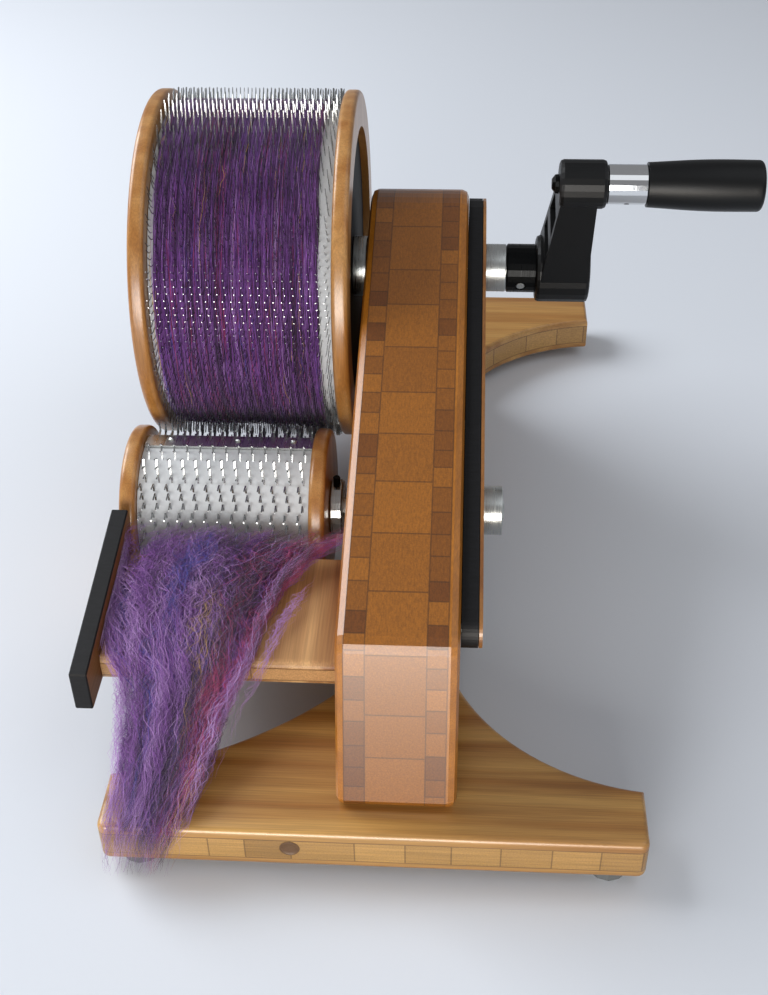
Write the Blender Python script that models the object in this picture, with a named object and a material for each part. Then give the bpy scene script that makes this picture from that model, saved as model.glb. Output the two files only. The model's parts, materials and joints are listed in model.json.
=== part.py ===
"""Hand-cranked drum carder: card-clothed drum and licker-in carried by one laminated upright.

Units are metres, +Z is up. X runs along the shafts, from the free end of the drum to the crank,
and Y runs from the infeed tray to the back. The origin lies on the table, under the middle of
the machine. Places are first worked out in the bench frame, whose X is zero at the left face of
the upright, and one empty then shifts everything to the origin.
"""

import math

import bmesh
import bpy
from mathutils import Vector

# Clearances and overruns that all pieces share
SEAT_GAP = 0.0003
RUNNING_GAP = 0.0003
CUT_OVERRUN = 0.002

# Numbers of facets
LARGE_SIDES = 40
MEDIUM_SIDES = 24
SMALL_SIDES = 12
TINY_SIDES = 8
ARC_STEPS = 6
BELT_ARC_STEPS = 12
FILLET_STEPS = 2
SHARP_ANGLE = math.radians(32)

# Base plate: two lobes joined by a waist as wide as the upright
BASE_LENGTH = 0.450
BASE_THICKNESS = 0.021
BASE_EDGE_RADIUS = 0.0025
BASE_CORNER_RADIUS = 0.004
LOBE_REACH_LEFT = 0.100
LOBE_REACH_RIGHT = 0.080
LOBE_END_LENGTH = 0.030
WAIST_SETBACK = 0.0885
LEFT_ARC_RADIUS = 0.184
RIGHT_ARC_RADIUS = 0.100

# Rubber feet
FOOT_RADIUS = 0.010
FOOT_HEIGHT = 0.006
FOOT_TAPER = 0.001
FOOT_INSET_END = 0.015
FOOT_INSET_EDGE = 0.012

# Upright, cut from a laminated board
UPRIGHT_THICKNESS = 0.0508
UPRIGHT_SETBACK = 0.0124
UPRIGHT_EDGE_RADIUS = 0.004
FRONT_HEIGHT = 0.075
FRONT_RAKE = 0.024
CROWN_RADIUS = 0.0405
REAR_RAKE_SHARE = 0.323
DRUM_AXIS_SETBACK = 0.281
KNEE_RADIUS = 0.008

# Drum, from its core outwards
DRUM_CORE_RADIUS = 0.078
DRUM_CORE_WALL = 0.005
DRUM_INNER_WIDTH = 0.0895
DRUM_STANDOFF = 0.006
DRUM_UNDER_CLEARANCE = 0.0148
DRUM_TOOTH_LENGTH = 0.0099
DRUM_TIP_PROUD = 0.0007
DRUM_TOOTH_ROWS = 48
DRUM_TOOTH_COLUMNS = 5
DRUM_SEAM_ROWS = 1
DRUM_SEAM_ANGLE = math.radians(165)
FLANGE_THICKNESS = 0.008
FLANGE_EDGE_RADIUS = 0.002
END_DISC_CLEARANCE = 0.001
END_DISC_THICKNESS = 0.006
END_DISC_RECESS = 0.004

# Licker-in, from its core outwards
LICKER_CORE_RADIUS = 0.0315
LICKER_INNER_WIDTH = 0.085
LICKER_STANDOFF = 0.016
LICKER_UNDER_CLEARANCE = 0.010
LICKER_TOOTH_LENGTH = 0.0064
LICKER_TIP_PROUD = 0.0012
LICKER_TOOTH_ROWS = 24
LICKER_TOOTH_COLUMNS = 4
LICKER_SEAM_ROWS = 2
LICKER_SEAM_ANGLE = math.radians(10)
NIP_GAP = 0.0006

# Card clothing: backing and bent wire teeth
BACKING_THICKNESS = 0.003
WIRE_WIDTH = 0.001
TOOTH_LEAN = 0.0022
STAGGER_SHARE = 0.22

# Strip of metal that pins down the seam of the licker-in's clothing
SEAM_BAR_WIDTH = 0.012
SEAM_BAR_THICKNESS = 0.0012
SEAM_PIN_RADIUS = 0.0016
SEAM_PIN_HEIGHT = 0.0012
SEAM_PIN_SHARES = (0.15, 0.55, 0.88)

# Shafts, bearings, hubs and collars
DRUM_SHAFT_RADIUS = 0.006
LICKER_SHAFT_RADIUS = 0.005
SHAFT_CHAMFER = 0.0008
BEARING_WALL = 0.008
BEARING_DEPTH = 0.010
BEARING_FLANGE_WIDTH = 0.003
BEARING_FLANGE_THICKNESS = 0.0016
SHAFT_TUNNEL_GAP = 0.001
HUB_RADIUS = 0.01575
HUB_CHAMFER = 0.0006
COLLAR_RADIUS = 0.0125
COLLAR_LENGTH = 0.011
LICKER_COLLAR_RADIUS = 0.0142
LICKER_COLLAR_LENGTH = 0.006
COLLAR_SCREW_RADIUS = 0.0018
COLLAR_SCREW_PROUD = 0.005
COLLAR_SCREW_SEAT = 0.003
LICKER_SHAFT_PROUD = 0.001
END_NUT_RADIUS = 0.011
END_NUT_THICKNESS = 0.006
END_NUT_SIDES = 6
SHAFT_END_PROUD = 0.0012

# Belt drive in its housing, on the right face of the upright
HOUSING_DEPTH = 0.007
HOUSING_EDGE_RADIUS = 0.0012
HOUSING_DRUM_RADIUS = 0.036
HOUSING_WALL = 0.004
HOUSING_NOSE_RADIUS = 0.008
HOUSING_NOSE_INSET = 0.005
HOUSING_NOSE_SETBACK = 0.0435
COVER_THICKNESS = 0.0015
BELT_RADIUS = 0.0014
DRUM_BELT_RADIUS = 0.0105
BELT_RATIO = 3.5
BELT_CROSS_OFFSET = 0.0017
BELT_ROOM = 0.0012
BELT_STRAIGHT_STEPS = 12
BELT_ARC_STEP = math.radians(12)
PULLEY_END_GAP = 0.0003
PULLEY_RIM = 0.0009
PULLEY_RIM_HEIGHT = 0.0022

# Infeed tray and its side guard
TRAY_WIDTH = 0.1094
TRAY_DEPTH = 0.073
TRAY_THICKNESS = 0.0135
TRAY_EDGE_RADIUS = 0.0028
TRAY_RISE = 0.0048
TRAY_LICKER_GAP = 0.0042
GUARD_THICKNESS = 0.008
GUARD_NOSE = 0.0185
GUARD_TAIL = 0.006
GUARD_FRONT_HEIGHT = 0.0212
GUARD_REAR_HEIGHT = 0.0355
GUARD_LICKER_GAP = 0.002
GUARD_EDGE_RADIUS = 0.0006

# Dowels and screws
DOWEL_RADIUS = 0.004
DOWEL_LENGTH = 0.026
DOWEL_CHAMFER = 0.0008
TRAY_FIXING_SHARES = (0.25, 0.75)
SCREW_RADIUS = 0.0020
SCREW_HEAD_RADIUS = 0.0038
SCREW_HEAD_DEPTH = 0.0020
SCREW_TIP_LENGTH = 0.003
GUARD_SCREW_LENGTH = 0.026
COVER_SCREW_LENGTH = 0.026
BASE_SCREW_LENGTH = 0.042
BASE_SCREW_SHARES = (0.12, 0.33, 0.86)
COVER_SCREW_MID_SHARE = 0.5
COVER_SCREW_REAR_SHARE = 0.68

# Crank with its spindle and its free-turning grip
CRANK_RADIUS = 0.065
CRANK_REST_ANGLE = math.radians(22.5)
CRANK_HUB_RADIUS = 0.01275
CRANK_HUB_LENGTH = 0.015
CRANK_SPIGOT_WALL = 0.003
CRANK_SPIGOT_LENGTH = 0.020
SHAFT_ENTRY = 0.028
SET_SCREW_RADIUS = 0.0025
SET_SCREW_SINK = 0.0005
SET_SCREW_SHARE = 0.5
LOWER_BOSS_RADIUS = 0.0175
LOWER_BOSS_LENGTH = 0.028
UPPER_BOSS_RADIUS = 0.01185
UPPER_BOSS_LENGTH = 0.0232
UPPER_BOSS_OFFSET = 0.0077
BOSS_FILLET = 0.002
ARM_SIDE_INSET = 0.0012
ARM_RIGHT_INSET = 0.0015
ARM_WALL = 0.0032
ARM_POCKET_DEPTH = 0.008
ARM_RIB_SHARES = (0.46, 0.56)
SPINDLE_RADIUS = 0.004
SPINDLE_HEAD_RADIUS = 0.0049
SPINDLE_HEAD_HEIGHT = 0.0033
SLEEVE_RADIUS = 0.00965
SLEEVE_LENGTH = 0.019
SLEEVE_HOLE_RADIUS = 0.0014
SLEEVE_HOLE_ANGLE = math.radians(120)
GRIP_LENGTH = 0.0555
GRIP_RADIUS = 0.0126
GRIP_END_WALL = 0.006
GRIP_END_FILLET = 0.0022
SPINDLE_END_GAP = 0.002
GRIP_PROFILE_SHARES = ((0.0, 0.866), (0.05, 0.880), (0.22, 0.925), (0.42, 0.975), (0.62, 1.0), (0.85, 0.995))

# Loose fibre laid on the tray: station tables are shares of the run, the depth and the tray's width
FIBRE_DEPTH = 0.011
FIBRE_REAR_SETBACK = 0.004
FIBRE_FALL = 0.013
FIBRE_TOE_SETBACK = 0.009
FIBRE_SIDE_SHARES = ((0.03, 0.86), (0.02, 0.80), (0.02, 0.72), (0.04, 0.70), (0.06, 0.68), (0.10, 0.66), (0.14, 0.60))
FIBRE_DEPTH_SHARES = (0.75, 1.0, 1.0, 0.9, 0.9, 0.8, 0.45)
FIBRE_TRAY_RUN_SHARES = (0.0, 0.45, 0.93)
FIBRE_FALL_SHARES = (0.0, 0.35, 0.75, 1.0)
FIBRE_EDGE_SHARE = 0.12

# Finishes: sRGB red, green and blue, then roughness and metallic
FINISHES = {
    "bamboo": ((0.72, 0.50, 0.27), 0.38, 0.0),
    "carbonised_bamboo": ((0.60, 0.38, 0.18), 0.42, 0.0),
    "charred_board": ((0.06, 0.06, 0.07), 0.55, 0.0),
    "black_board": ((0.03, 0.03, 0.03), 0.60, 0.0),
    "core_board": ((0.45, 0.36, 0.26), 0.70, 0.0),
    "steel": ((0.72, 0.74, 0.74), 0.30, 1.0),
    "chrome": ((0.90, 0.90, 0.92), 0.06, 1.0),
    "black_steel": ((0.04, 0.04, 0.045), 0.30, 0.6),
    "black_plastic": ((0.035, 0.04, 0.045), 0.42, 0.0),
    "grip_plastic": ((0.03, 0.033, 0.036), 0.48, 0.0),
    "card_cloth": ((0.80, 0.80, 0.79), 0.60, 0.0),
    "rubber": ((0.20, 0.20, 0.20), 0.80, 0.0),
    "belt_rubber": ((0.70, 0.55, 0.20), 0.50, 0.0),
    "bronze": ((0.62, 0.46, 0.22), 0.40, 1.0),
    "beech": ((0.78, 0.62, 0.42), 0.60, 0.0),
    "dyed_wool": ((0.33, 0.14, 0.45), 0.95, 0.0),
}

# Heights above the table
BASE_BOTTOM = FOOT_HEIGHT + SEAT_GAP
BASE_TOP = BASE_BOTTOM + BASE_THICKNESS
UPRIGHT_BOTTOM = BASE_TOP + SEAT_GAP

# Radii of the clothed rollers
END_DISC_RADIUS = DRUM_CORE_RADIUS - DRUM_CORE_WALL - END_DISC_CLEARANCE
DRUM_CLOTH_BORE = DRUM_CORE_RADIUS + SEAT_GAP
DRUM_CLOTH_RADIUS = DRUM_CLOTH_BORE + BACKING_THICKNESS
DRUM_TIP_RADIUS = DRUM_CLOTH_RADIUS + DRUM_TOOTH_LENGTH
DRUM_FLANGE_RADIUS = DRUM_TIP_RADIUS - DRUM_TIP_PROUD
LICKER_CLOTH_BORE = LICKER_CORE_RADIUS + SEAT_GAP
LICKER_CLOTH_RADIUS = LICKER_CLOTH_BORE + BACKING_THICKNESS
LICKER_TIP_RADIUS = LICKER_CLOTH_RADIUS + LICKER_TOOTH_LENGTH
LICKER_FLANGE_RADIUS = LICKER_TIP_RADIUS - LICKER_TIP_PROUD

# Axes of the two rollers, as (y, z): the licker-in clears the table and stands a nip away
BASE_FRONT = -BASE_LENGTH / 2
UPRIGHT_FRONT = BASE_FRONT + UPRIGHT_SETBACK
DRUM_AXIS = Vector((UPRIGHT_FRONT + DRUM_AXIS_SETBACK, BASE_TOP + DRUM_TIP_RADIUS + DRUM_UNDER_CLEARANCE))
ROLLER_SPACING = DRUM_TIP_RADIUS + LICKER_TIP_RADIUS + NIP_GAP
LICKER_AXIS_Z = LICKER_TIP_RADIUS + LICKER_UNDER_CLEARANCE
LICKER_AXIS_RUN = math.sqrt(ROLLER_SPACING**2 - (DRUM_AXIS.y - LICKER_AXIS_Z) ** 2)
LICKER_AXIS = Vector((DRUM_AXIS.x - LICKER_AXIS_RUN, LICKER_AXIS_Z))

# Places along the shafts, from the left face of the upright at zero
HOUSING_LEFT = UPRIGHT_THICKNESS + SEAT_GAP
HOUSING_RIGHT = HOUSING_LEFT + HOUSING_DEPTH
COVER_LEFT = HOUSING_RIGHT + SEAT_GAP
COVER_RIGHT = COVER_LEFT + COVER_THICKNESS
COLLAR_LEFT = COVER_RIGHT + RUNNING_GAP
COLLAR_RIGHT = COLLAR_LEFT + COLLAR_LENGTH
CRANK_HUB_LEFT = COLLAR_RIGHT + SEAT_GAP
CRANK_HUB_RIGHT = CRANK_HUB_LEFT + CRANK_HUB_LENGTH
ARM_LEFT = CRANK_HUB_RIGHT + SEAT_GAP
UPPER_BOSS_LEFT = ARM_LEFT + UPPER_BOSS_OFFSET
UPPER_BOSS_RIGHT = UPPER_BOSS_LEFT + UPPER_BOSS_LENGTH
SLEEVE_LEFT = UPPER_BOSS_RIGHT + SEAT_GAP
SLEEVE_RIGHT = SLEEVE_LEFT + SLEEVE_LENGTH
GRIP_LEFT = SLEEVE_RIGHT + RUNNING_GAP
GRIP_RIGHT = GRIP_LEFT + GRIP_LENGTH
DRUM_FLANGE_RIGHT_FACE = -DRUM_STANDOFF
DRUM_CLOTH_RIGHT = DRUM_FLANGE_RIGHT_FACE - FLANGE_THICKNESS
DRUM_CLOTH_LEFT = DRUM_CLOTH_RIGHT - DRUM_INNER_WIDTH
DRUM_FLANGE_LEFT_FACE = DRUM_CLOTH_LEFT - FLANGE_THICKNESS
DRUM_SHAFT_LEFT = (
    DRUM_FLANGE_LEFT_FACE + END_DISC_RECESS - SEAT_GAP - END_NUT_THICKNESS - SHAFT_END_PROUD
)
LICKER_FLANGE_RIGHT_FACE = -LICKER_STANDOFF
LICKER_CLOTH_RIGHT = LICKER_FLANGE_RIGHT_FACE - FLANGE_THICKNESS
LICKER_CLOTH_LEFT = LICKER_CLOTH_RIGHT - LICKER_INNER_WIDTH
LICKER_FLANGE_LEFT_FACE = LICKER_CLOTH_LEFT - FLANGE_THICKNESS
TRAY_RIGHT = -SEAT_GAP
TRAY_LEFT = TRAY_RIGHT - TRAY_WIDTH
GUARD_RIGHT = TRAY_LEFT - SEAT_GAP
GUARD_LEFT = GUARD_RIGHT - GUARD_THICKNESS

# The machine's middle, which the origin stands under
FAR_LEFT = min(GUARD_LEFT, LICKER_FLANGE_LEFT_FACE, DRUM_SHAFT_LEFT, -LOBE_REACH_LEFT)
FAR_RIGHT = max(GRIP_RIGHT, UPRIGHT_THICKNESS + LOBE_REACH_RIGHT)
BENCH_SHIFT = -(FAR_LEFT + FAR_RIGHT) / 2

# Infeed tray, as seen from the side
TRAY_TOP = LICKER_AXIS.y + TRAY_RISE
TRAY_BOTTOM = TRAY_TOP - TRAY_THICKNESS
TRAY_MIDDLE = (TRAY_TOP + TRAY_BOTTOM) / 2
TRAY_REAR = LICKER_AXIS.x - LICKER_TIP_RADIUS - TRAY_LICKER_GAP
TRAY_FRONT = TRAY_REAR - TRAY_DEPTH

# Belt circles: the large pulley turns BELT_RATIO times slower
LICKER_BELT_RADIUS = DRUM_BELT_RADIUS * BELT_RATIO
BELT_MIDDLE = HOUSING_LEFT + HOUSING_DEPTH / 2
CAVITY_DRUM_RADIUS = DRUM_BELT_RADIUS + BELT_RADIUS + BELT_ROOM
CAVITY_LICKER_RADIUS = LICKER_BELT_RADIUS + BELT_RADIUS + BELT_ROOM
HOUSING_LICKER_RADIUS = CAVITY_LICKER_RADIUS + HOUSING_WALL

# Spigot of the crank hub and the bore of the arm round it
SPIGOT_RADIUS = DRUM_SHAFT_RADIUS + RUNNING_GAP + CRANK_SPIGOT_WALL


def clear_scene():
    """Remove whatever the file holds, so that the model starts from nothing."""
    for obj in list(bpy.data.objects):
        bpy.data.objects.remove(obj, do_unlink=True)


def finish(name):
    """Return the Principled material of a named finish, made once."""
    known = bpy.data.materials.get(name)
    if known:
        return known
    colour, roughness, metallic = FINISHES[name]
    made = bpy.data.materials.new(name)
    made.use_nodes = True
    shader = made.node_tree.nodes["Principled BSDF"]
    shader.inputs["Base Color"].default_value = (*colour, 1)
    shader.inputs["Roughness"].default_value = roughness
    shader.inputs["Metallic"].default_value = metallic
    return made


def empty(name, parent, place, turn=0.0):
    """Add an empty that other pieces hang on; turn is its rest angle about X."""
    made = bpy.data.objects.new(name, None)
    bpy.context.scene.collection.objects.link(made)
    made.parent = parent
    made.location = place
    made.rotation_euler.x = turn
    return made


def add_piece(name, mesh, finish_name, parent, smooth=False):
    """Put a mesh into the scene as one named piece of the machine."""
    made = bpy.data.objects.new(name, mesh)
    bpy.context.scene.collection.objects.link(made)
    mesh.materials.append(finish(finish_name))
    made.parent = parent
    if smooth:
        mesh.shade_smooth()
        mesh.set_sharp_from_angle(angle=SHARP_ANGLE)
    return made


def add_tool(name, mesh, parent):
    """Put a mesh into the scene as a hidden cutter or filler for a Boolean."""
    made = bpy.data.objects.new(name, mesh)
    bpy.context.scene.collection.objects.link(made)
    made.parent = parent
    made.hide_render = True
    made.display_type = "WIRE"
    return made


def combine(piece, tool, operation="DIFFERENCE"):
    """Cut a tool from a piece, or join it on with UNION."""
    modifier = piece.modifiers.new(f"{operation.lower()}_{tool.name}", "BOOLEAN")
    modifier.operation = operation
    modifier.solver = "EXACT"
    modifier.object = tool


def round_edges(piece, radius, steps=FILLET_STEPS):
    """Round the sharp edges of a piece."""
    modifier = piece.modifiers.new("rounded_edges", "BEVEL")
    modifier.width = radius
    modifier.segments = steps
    modifier.limit_method = "ANGLE"
    modifier.angle_limit = SHARP_ANGLE


def mesh_from(name, build):
    """Run a function that fills a bmesh, and return it as a mesh whose faces point out."""
    work = bmesh.new()
    build(work)
    bmesh.ops.recalc_face_normals(work, faces=work.faces)
    mesh = bpy.data.meshes.new(name)
    work.to_mesh(mesh)
    work.free()
    return mesh


def prism_mesh(name, outline, low, high, axis="X"):
    """Mesh of an outline drawn out from low to high along X, or along Z.

    The outline holds (y, z) points for X and (x, y) points for Z.
    """

    def spot(point, along):
        if axis == "X":
            return (along, point[0], point[1])
        return (point[0], point[1], along)

    def build(work):
        rings = [[work.verts.new(spot(point, along)) for point in outline] for along in (low, high)]
        count = len(outline)
        for index in range(count):
            following = (index + 1) % count
            work.faces.new((rings[0][index], rings[0][following], rings[1][following], rings[1][index]))
        work.faces.new(rings[0])
        work.faces.new(rings[1])

    return mesh_from(name, build)


def turned_mesh(name, profile, sides, axis="X"):
    """Mesh of (along, radius) points turned about X, or about Y or Z.

    A profile whose first and last points lie on the axis makes a solid of revolution. Any other
    profile is a closed loop round a bore.
    """
    solid = profile[0][1] == 0 and profile[-1][1] == 0

    def spot(along, radius, angle):
        across, up = radius * math.cos(angle), radius * math.sin(angle)
        return {"X": (along, across, up), "Y": (up, along, across), "Z": (across, up, along)}[axis]

    def build(work):
        rings = []
        for along, radius in profile:
            if radius == 0:
                rings.append([work.verts.new(spot(along, radius, 0.0))] * sides)
                continue
            rings.append(
                [work.verts.new(spot(along, radius, math.tau * step / sides)) for step in range(sides)]
            )
        pairs = list(zip(rings, rings[1:]))
        if not solid:
            pairs.append((rings[-1], rings[0]))
        for first, second in pairs:
            for step in range(sides):
                following = (step + 1) % sides
                corners = [first[step], first[following], second[following], second[step]]
                work.faces.new(list(dict.fromkeys(corners)))

    return mesh_from(name, build)


def loft_mesh(name, rings):
    """Mesh through rings of points that match one to one, with both ends closed."""

    def build(work):
        drawn = [[work.verts.new(point) for point in ring] for ring in rings]
        count = len(rings[0])
        for first, second in zip(drawn, drawn[1:]):
            for index in range(count):
                following = (index + 1) % count
                work.faces.new((first[index], first[following], second[following], second[index]))
        work.faces.new(drawn[0])
        work.faces.new(drawn[-1])

    return mesh_from(name, build)


def direction(angle):
    """Unit vector in a plane, at an angle from its first axis."""
    return Vector((math.cos(angle), math.sin(angle)))


def arc(centre, radius, start, end, steps=ARC_STEPS):
    """Points along an arc, both ends included."""
    return [centre + direction(start + (end - start) * step / steps) * radius for step in range(steps + 1)]


def arc_between(start, end, radius, steps=ARC_STEPS):
    """Points along the shorter arc of a radius from start to end, with its centre on the left."""
    chord = end - start
    half = chord.length / 2
    side = Vector((-chord.y, chord.x)).normalized()
    centre = (start + end) / 2 + side * math.sqrt(radius**2 - half**2)
    first = math.atan2(start.y - centre.y, start.x - centre.x)
    last = math.atan2(end.y - centre.y, end.x - centre.x)
    sweep = (last - first + math.pi) % math.tau - math.pi
    return arc(centre, radius, first, first + sweep, steps)


def rounded_outline(corners, steps=FILLET_STEPS):
    """Outline through (point, radius) corners, each rounded to its radius."""
    points = []
    count = len(corners)
    for index, (corner, radius) in enumerate(corners):
        if radius == 0:
            points.append(corner)
            continue
        before = (corners[index - 1][0] - corner).normalized()
        after = (corners[(index + 1) % count][0] - corner).normalized()
        half_angle = before.angle(after) / 2
        centre = corner + (before + after).normalized() * (radius / math.sin(half_angle))
        first = corner + before * (radius / math.tan(half_angle))
        last = corner + after * (radius / math.tan(half_angle))
        start = math.atan2(first.y - centre.y, first.x - centre.x)
        end = math.atan2(last.y - centre.y, last.x - centre.x)
        sweep = (end - start + math.pi) % math.tau - math.pi
        points.extend(arc(centre, radius, start, start + sweep, steps))
    return points


def belt_round(circles, steps=BELT_ARC_STEPS):
    """Outline pulled tight round (centre, radius) circles, given in counterclockwise order."""
    count = len(circles)
    leaving = []
    for index in range(count):
        centre, radius = circles[index]
        next_centre, next_radius = circles[(index + 1) % count]
        way = next_centre - centre
        lean = math.acos((radius - next_radius) / way.length)
        leaving.append(math.atan2(way.y, way.x) - lean)
    points = []
    for index, (centre, radius) in enumerate(circles):
        start = leaving[index - 1]
        end = leaving[index]
        while end < start:
            end += math.tau
        points.extend(arc(centre, radius, start, end, steps))
    return points


def chamfered_rod(left, right, radius, chamfer):
    """Profile of a plain rod with chamfered ends."""
    return [
        (left, 0),
        (left, radius - chamfer),
        (left + chamfer, radius),
        (right - chamfer, radius),
        (right, radius - chamfer),
        (right, 0),
    ]


def chamfered_ring(left, right, bore, radius, chamfer):
    """Profile of a ring with chamfered outer edges round a plain bore."""
    return [
        (left, bore),
        (left, radius - chamfer),
        (left + chamfer, radius),
        (right - chamfer, radius),
        (right, radius - chamfer),
        (right, bore),
    ]


def filleted_ring(left, right, bore, radius, fillet, steps=FILLET_STEPS):
    """Profile of a ring with rounded outer edges round a plain bore."""
    lower = arc(Vector((left + fillet, radius - fillet)), fillet, math.pi, math.pi / 2, steps)
    upper = arc(Vector((right - fillet, radius - fillet)), fillet, math.pi / 2, 0, steps)
    return [(left, bore), *[tuple(p) for p in lower], *[tuple(p) for p in upper], (right, bore)]


def screw_profile(length, head_radius=SCREW_HEAD_RADIUS, head_depth=SCREW_HEAD_DEPTH):
    """Profile of a countersunk screw, from the flat of its head to its tip."""
    return [
        (0, 0),
        (0, head_radius),
        (head_depth, SCREW_RADIUS),
        (length - SCREW_TIP_LENGTH, SCREW_RADIUS),
        (length, 0),
    ]


def screw_room(length):
    """Profile of the hole that a countersunk screw lies in, open past its head."""
    return [
        (-CUT_OVERRUN, 0),
        (-CUT_OVERRUN, SCREW_HEAD_RADIUS + SEAT_GAP),
        (0, SCREW_HEAD_RADIUS + SEAT_GAP),
        (SCREW_HEAD_DEPTH + SEAT_GAP, SCREW_RADIUS + SEAT_GAP),
        (length + SEAT_GAP, SCREW_RADIUS + SEAT_GAP),
        (length + SEAT_GAP, 0),
    ]


def mirrored_profile(profile, start, way=1):
    """Profile moved to start along its axis, pointing back along it when way is -1."""
    return [(start + way * along, radius) for along, radius in profile]


def base_outline():
    """Outline of the base plate: the front half runs round its lobes, and the rear half mirrors it."""
    left = -LOBE_REACH_LEFT
    right = UPRIGHT_THICKNESS + LOBE_REACH_RIGHT
    lobe_end = BASE_FRONT + LOBE_END_LENGTH
    waist = BASE_FRONT + WAIST_SETBACK
    left_arc = arc_between(Vector((0, waist)), Vector((left, lobe_end)), LEFT_ARC_RADIUS)
    right_arc = arc_between(Vector((right, lobe_end)), Vector((UPRIGHT_THICKNESS, waist)), RIGHT_ARC_RADIUS)
    corners = rounded_outline(
        [
            (left_arc[-1], 0),
            (Vector((left, BASE_FRONT)), BASE_CORNER_RADIUS),
            (Vector((right, BASE_FRONT)), BASE_CORNER_RADIUS),
            (right_arc[0], 0),
        ]
    )
    front = left_arc[:-1] + corners + right_arc[1:]
    rear = [Vector((point.x, -point.y)) for point in reversed(front)]
    return front + rear


def make_base(bench):
    """Base plate with its feet and the screws that hold the upright."""
    plate = add_piece(
        "base_plate", prism_mesh("base_plate", base_outline(), BASE_BOTTOM, BASE_TOP, "Z"), "bamboo", bench
    )
    round_edges(plate, BASE_EDGE_RADIUS)
    for end_name, side in (("front", -1), ("rear", 1)):
        for side_name, place in (
            ("left", -LOBE_REACH_LEFT + FOOT_INSET_END),
            ("right", UPRIGHT_THICKNESS + LOBE_REACH_RIGHT - FOOT_INSET_END),
        ):
            name = f"foot_{end_name}_{side_name}"
            profile = [
                (0, 0),
                (0, FOOT_RADIUS - FOOT_TAPER),
                (FOOT_TAPER, FOOT_RADIUS - FOOT_TAPER / 2),
                (FOOT_HEIGHT, FOOT_RADIUS),
                (FOOT_HEIGHT, 0),
            ]
            foot = add_piece(name, turned_mesh(name, profile, SMALL_SIDES, "Z"), "rubber", bench, True)
            foot.location = (place, side * (BASE_LENGTH / 2 - FOOT_INSET_EDGE), 0)
    return plate


def upright_foot_rear():
    """Y of the rear lower corner of the upright."""
    lean = math.atan(REAR_RAKE_SHARE)
    touch = DRUM_AXIS + direction(lean) * CROWN_RADIUS
    return touch.x + (touch.y - UPRIGHT_BOTTOM) * REAR_RAKE_SHARE


def upright_outline():
    """Side outline of the upright: raked front, long slope, crown round the drum shaft, raked rear."""
    toe = Vector((UPRIGHT_FRONT, UPRIGHT_BOTTOM))
    knee = Vector((UPRIGHT_FRONT + FRONT_RAKE, BASE_TOP + FRONT_HEIGHT))
    reach = DRUM_AXIS - knee
    slope = math.atan2(reach.y, reach.x) + math.asin(CROWN_RADIUS / reach.length)
    lean = math.atan(REAR_RAKE_SHARE)
    crown = arc(DRUM_AXIS, CROWN_RADIUS, lean, slope + math.pi / 2, ARC_STEPS * 2)
    heel = Vector((upright_foot_rear(), UPRIGHT_BOTTOM))
    return rounded_outline(
        [
            (toe, KNEE_RADIUS / 2),
            (heel, 0),
            *[(point, 0) for point in crown],
            (knee, KNEE_RADIUS),
        ]
    )


def shaft_bore_tools(name, bench, axis, shaft_radius):
    """Cutters for a shaft tunnel with a bearing seat at either face of the upright."""
    tunnel_radius = shaft_radius + SHAFT_TUNNEL_GAP
    seat_radius = shaft_radius + RUNNING_GAP + BEARING_WALL + SEAT_GAP
    depth = BEARING_DEPTH + SEAT_GAP
    profile = [
        (-CUT_OVERRUN, 0),
        (-CUT_OVERRUN, seat_radius),
        (depth, seat_radius),
        (depth, tunnel_radius),
        (UPRIGHT_THICKNESS - depth, tunnel_radius),
        (UPRIGHT_THICKNESS - depth, seat_radius),
        (UPRIGHT_THICKNESS + CUT_OVERRUN, seat_radius),
        (UPRIGHT_THICKNESS + CUT_OVERRUN, 0),
    ]
    tool = add_tool(name, turned_mesh(name, profile, MEDIUM_SIDES), bench)
    tool.location = (0, axis.x, axis.y)
    return tool


def bearing_profile(shaft_radius, flanged):
    """Profile of a bearing that reaches BEARING_DEPTH into the wood from x = 0, with or without a flange."""
    bore = shaft_radius + RUNNING_GAP
    radius = bore + BEARING_WALL
    if not flanged:
        return [(0, bore), (0, radius), (BEARING_DEPTH, radius), (BEARING_DEPTH, bore)]
    face = -SEAT_GAP - BEARING_FLANGE_THICKNESS
    return [
        (face, bore),
        (face, radius + BEARING_FLANGE_WIDTH),
        (-SEAT_GAP, radius + BEARING_FLANGE_WIDTH),
        (-SEAT_GAP, radius),
        (BEARING_DEPTH, radius),
        (BEARING_DEPTH, bore),
    ]


def make_bearings(bench):
    """Two bearings for each shaft: flanged on the roller side, flush on the belt side."""
    for roller, axis, radius in (
        ("drum", DRUM_AXIS, DRUM_SHAFT_RADIUS),
        ("licker", LICKER_AXIS, LICKER_SHAFT_RADIUS),
    ):
        for side, flanged, place, turn in (
            ("left", True, 0, 0),
            ("right", False, UPRIGHT_THICKNESS, math.pi),
        ):
            name = f"{roller}_bearing_{side}"
            mesh = turned_mesh(name, bearing_profile(radius, flanged), MEDIUM_SIDES)
            bearing = add_piece(name, mesh, "bronze", bench, True)
            bearing.location = (place, axis.x, axis.y)
            bearing.rotation_euler.z = turn


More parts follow.
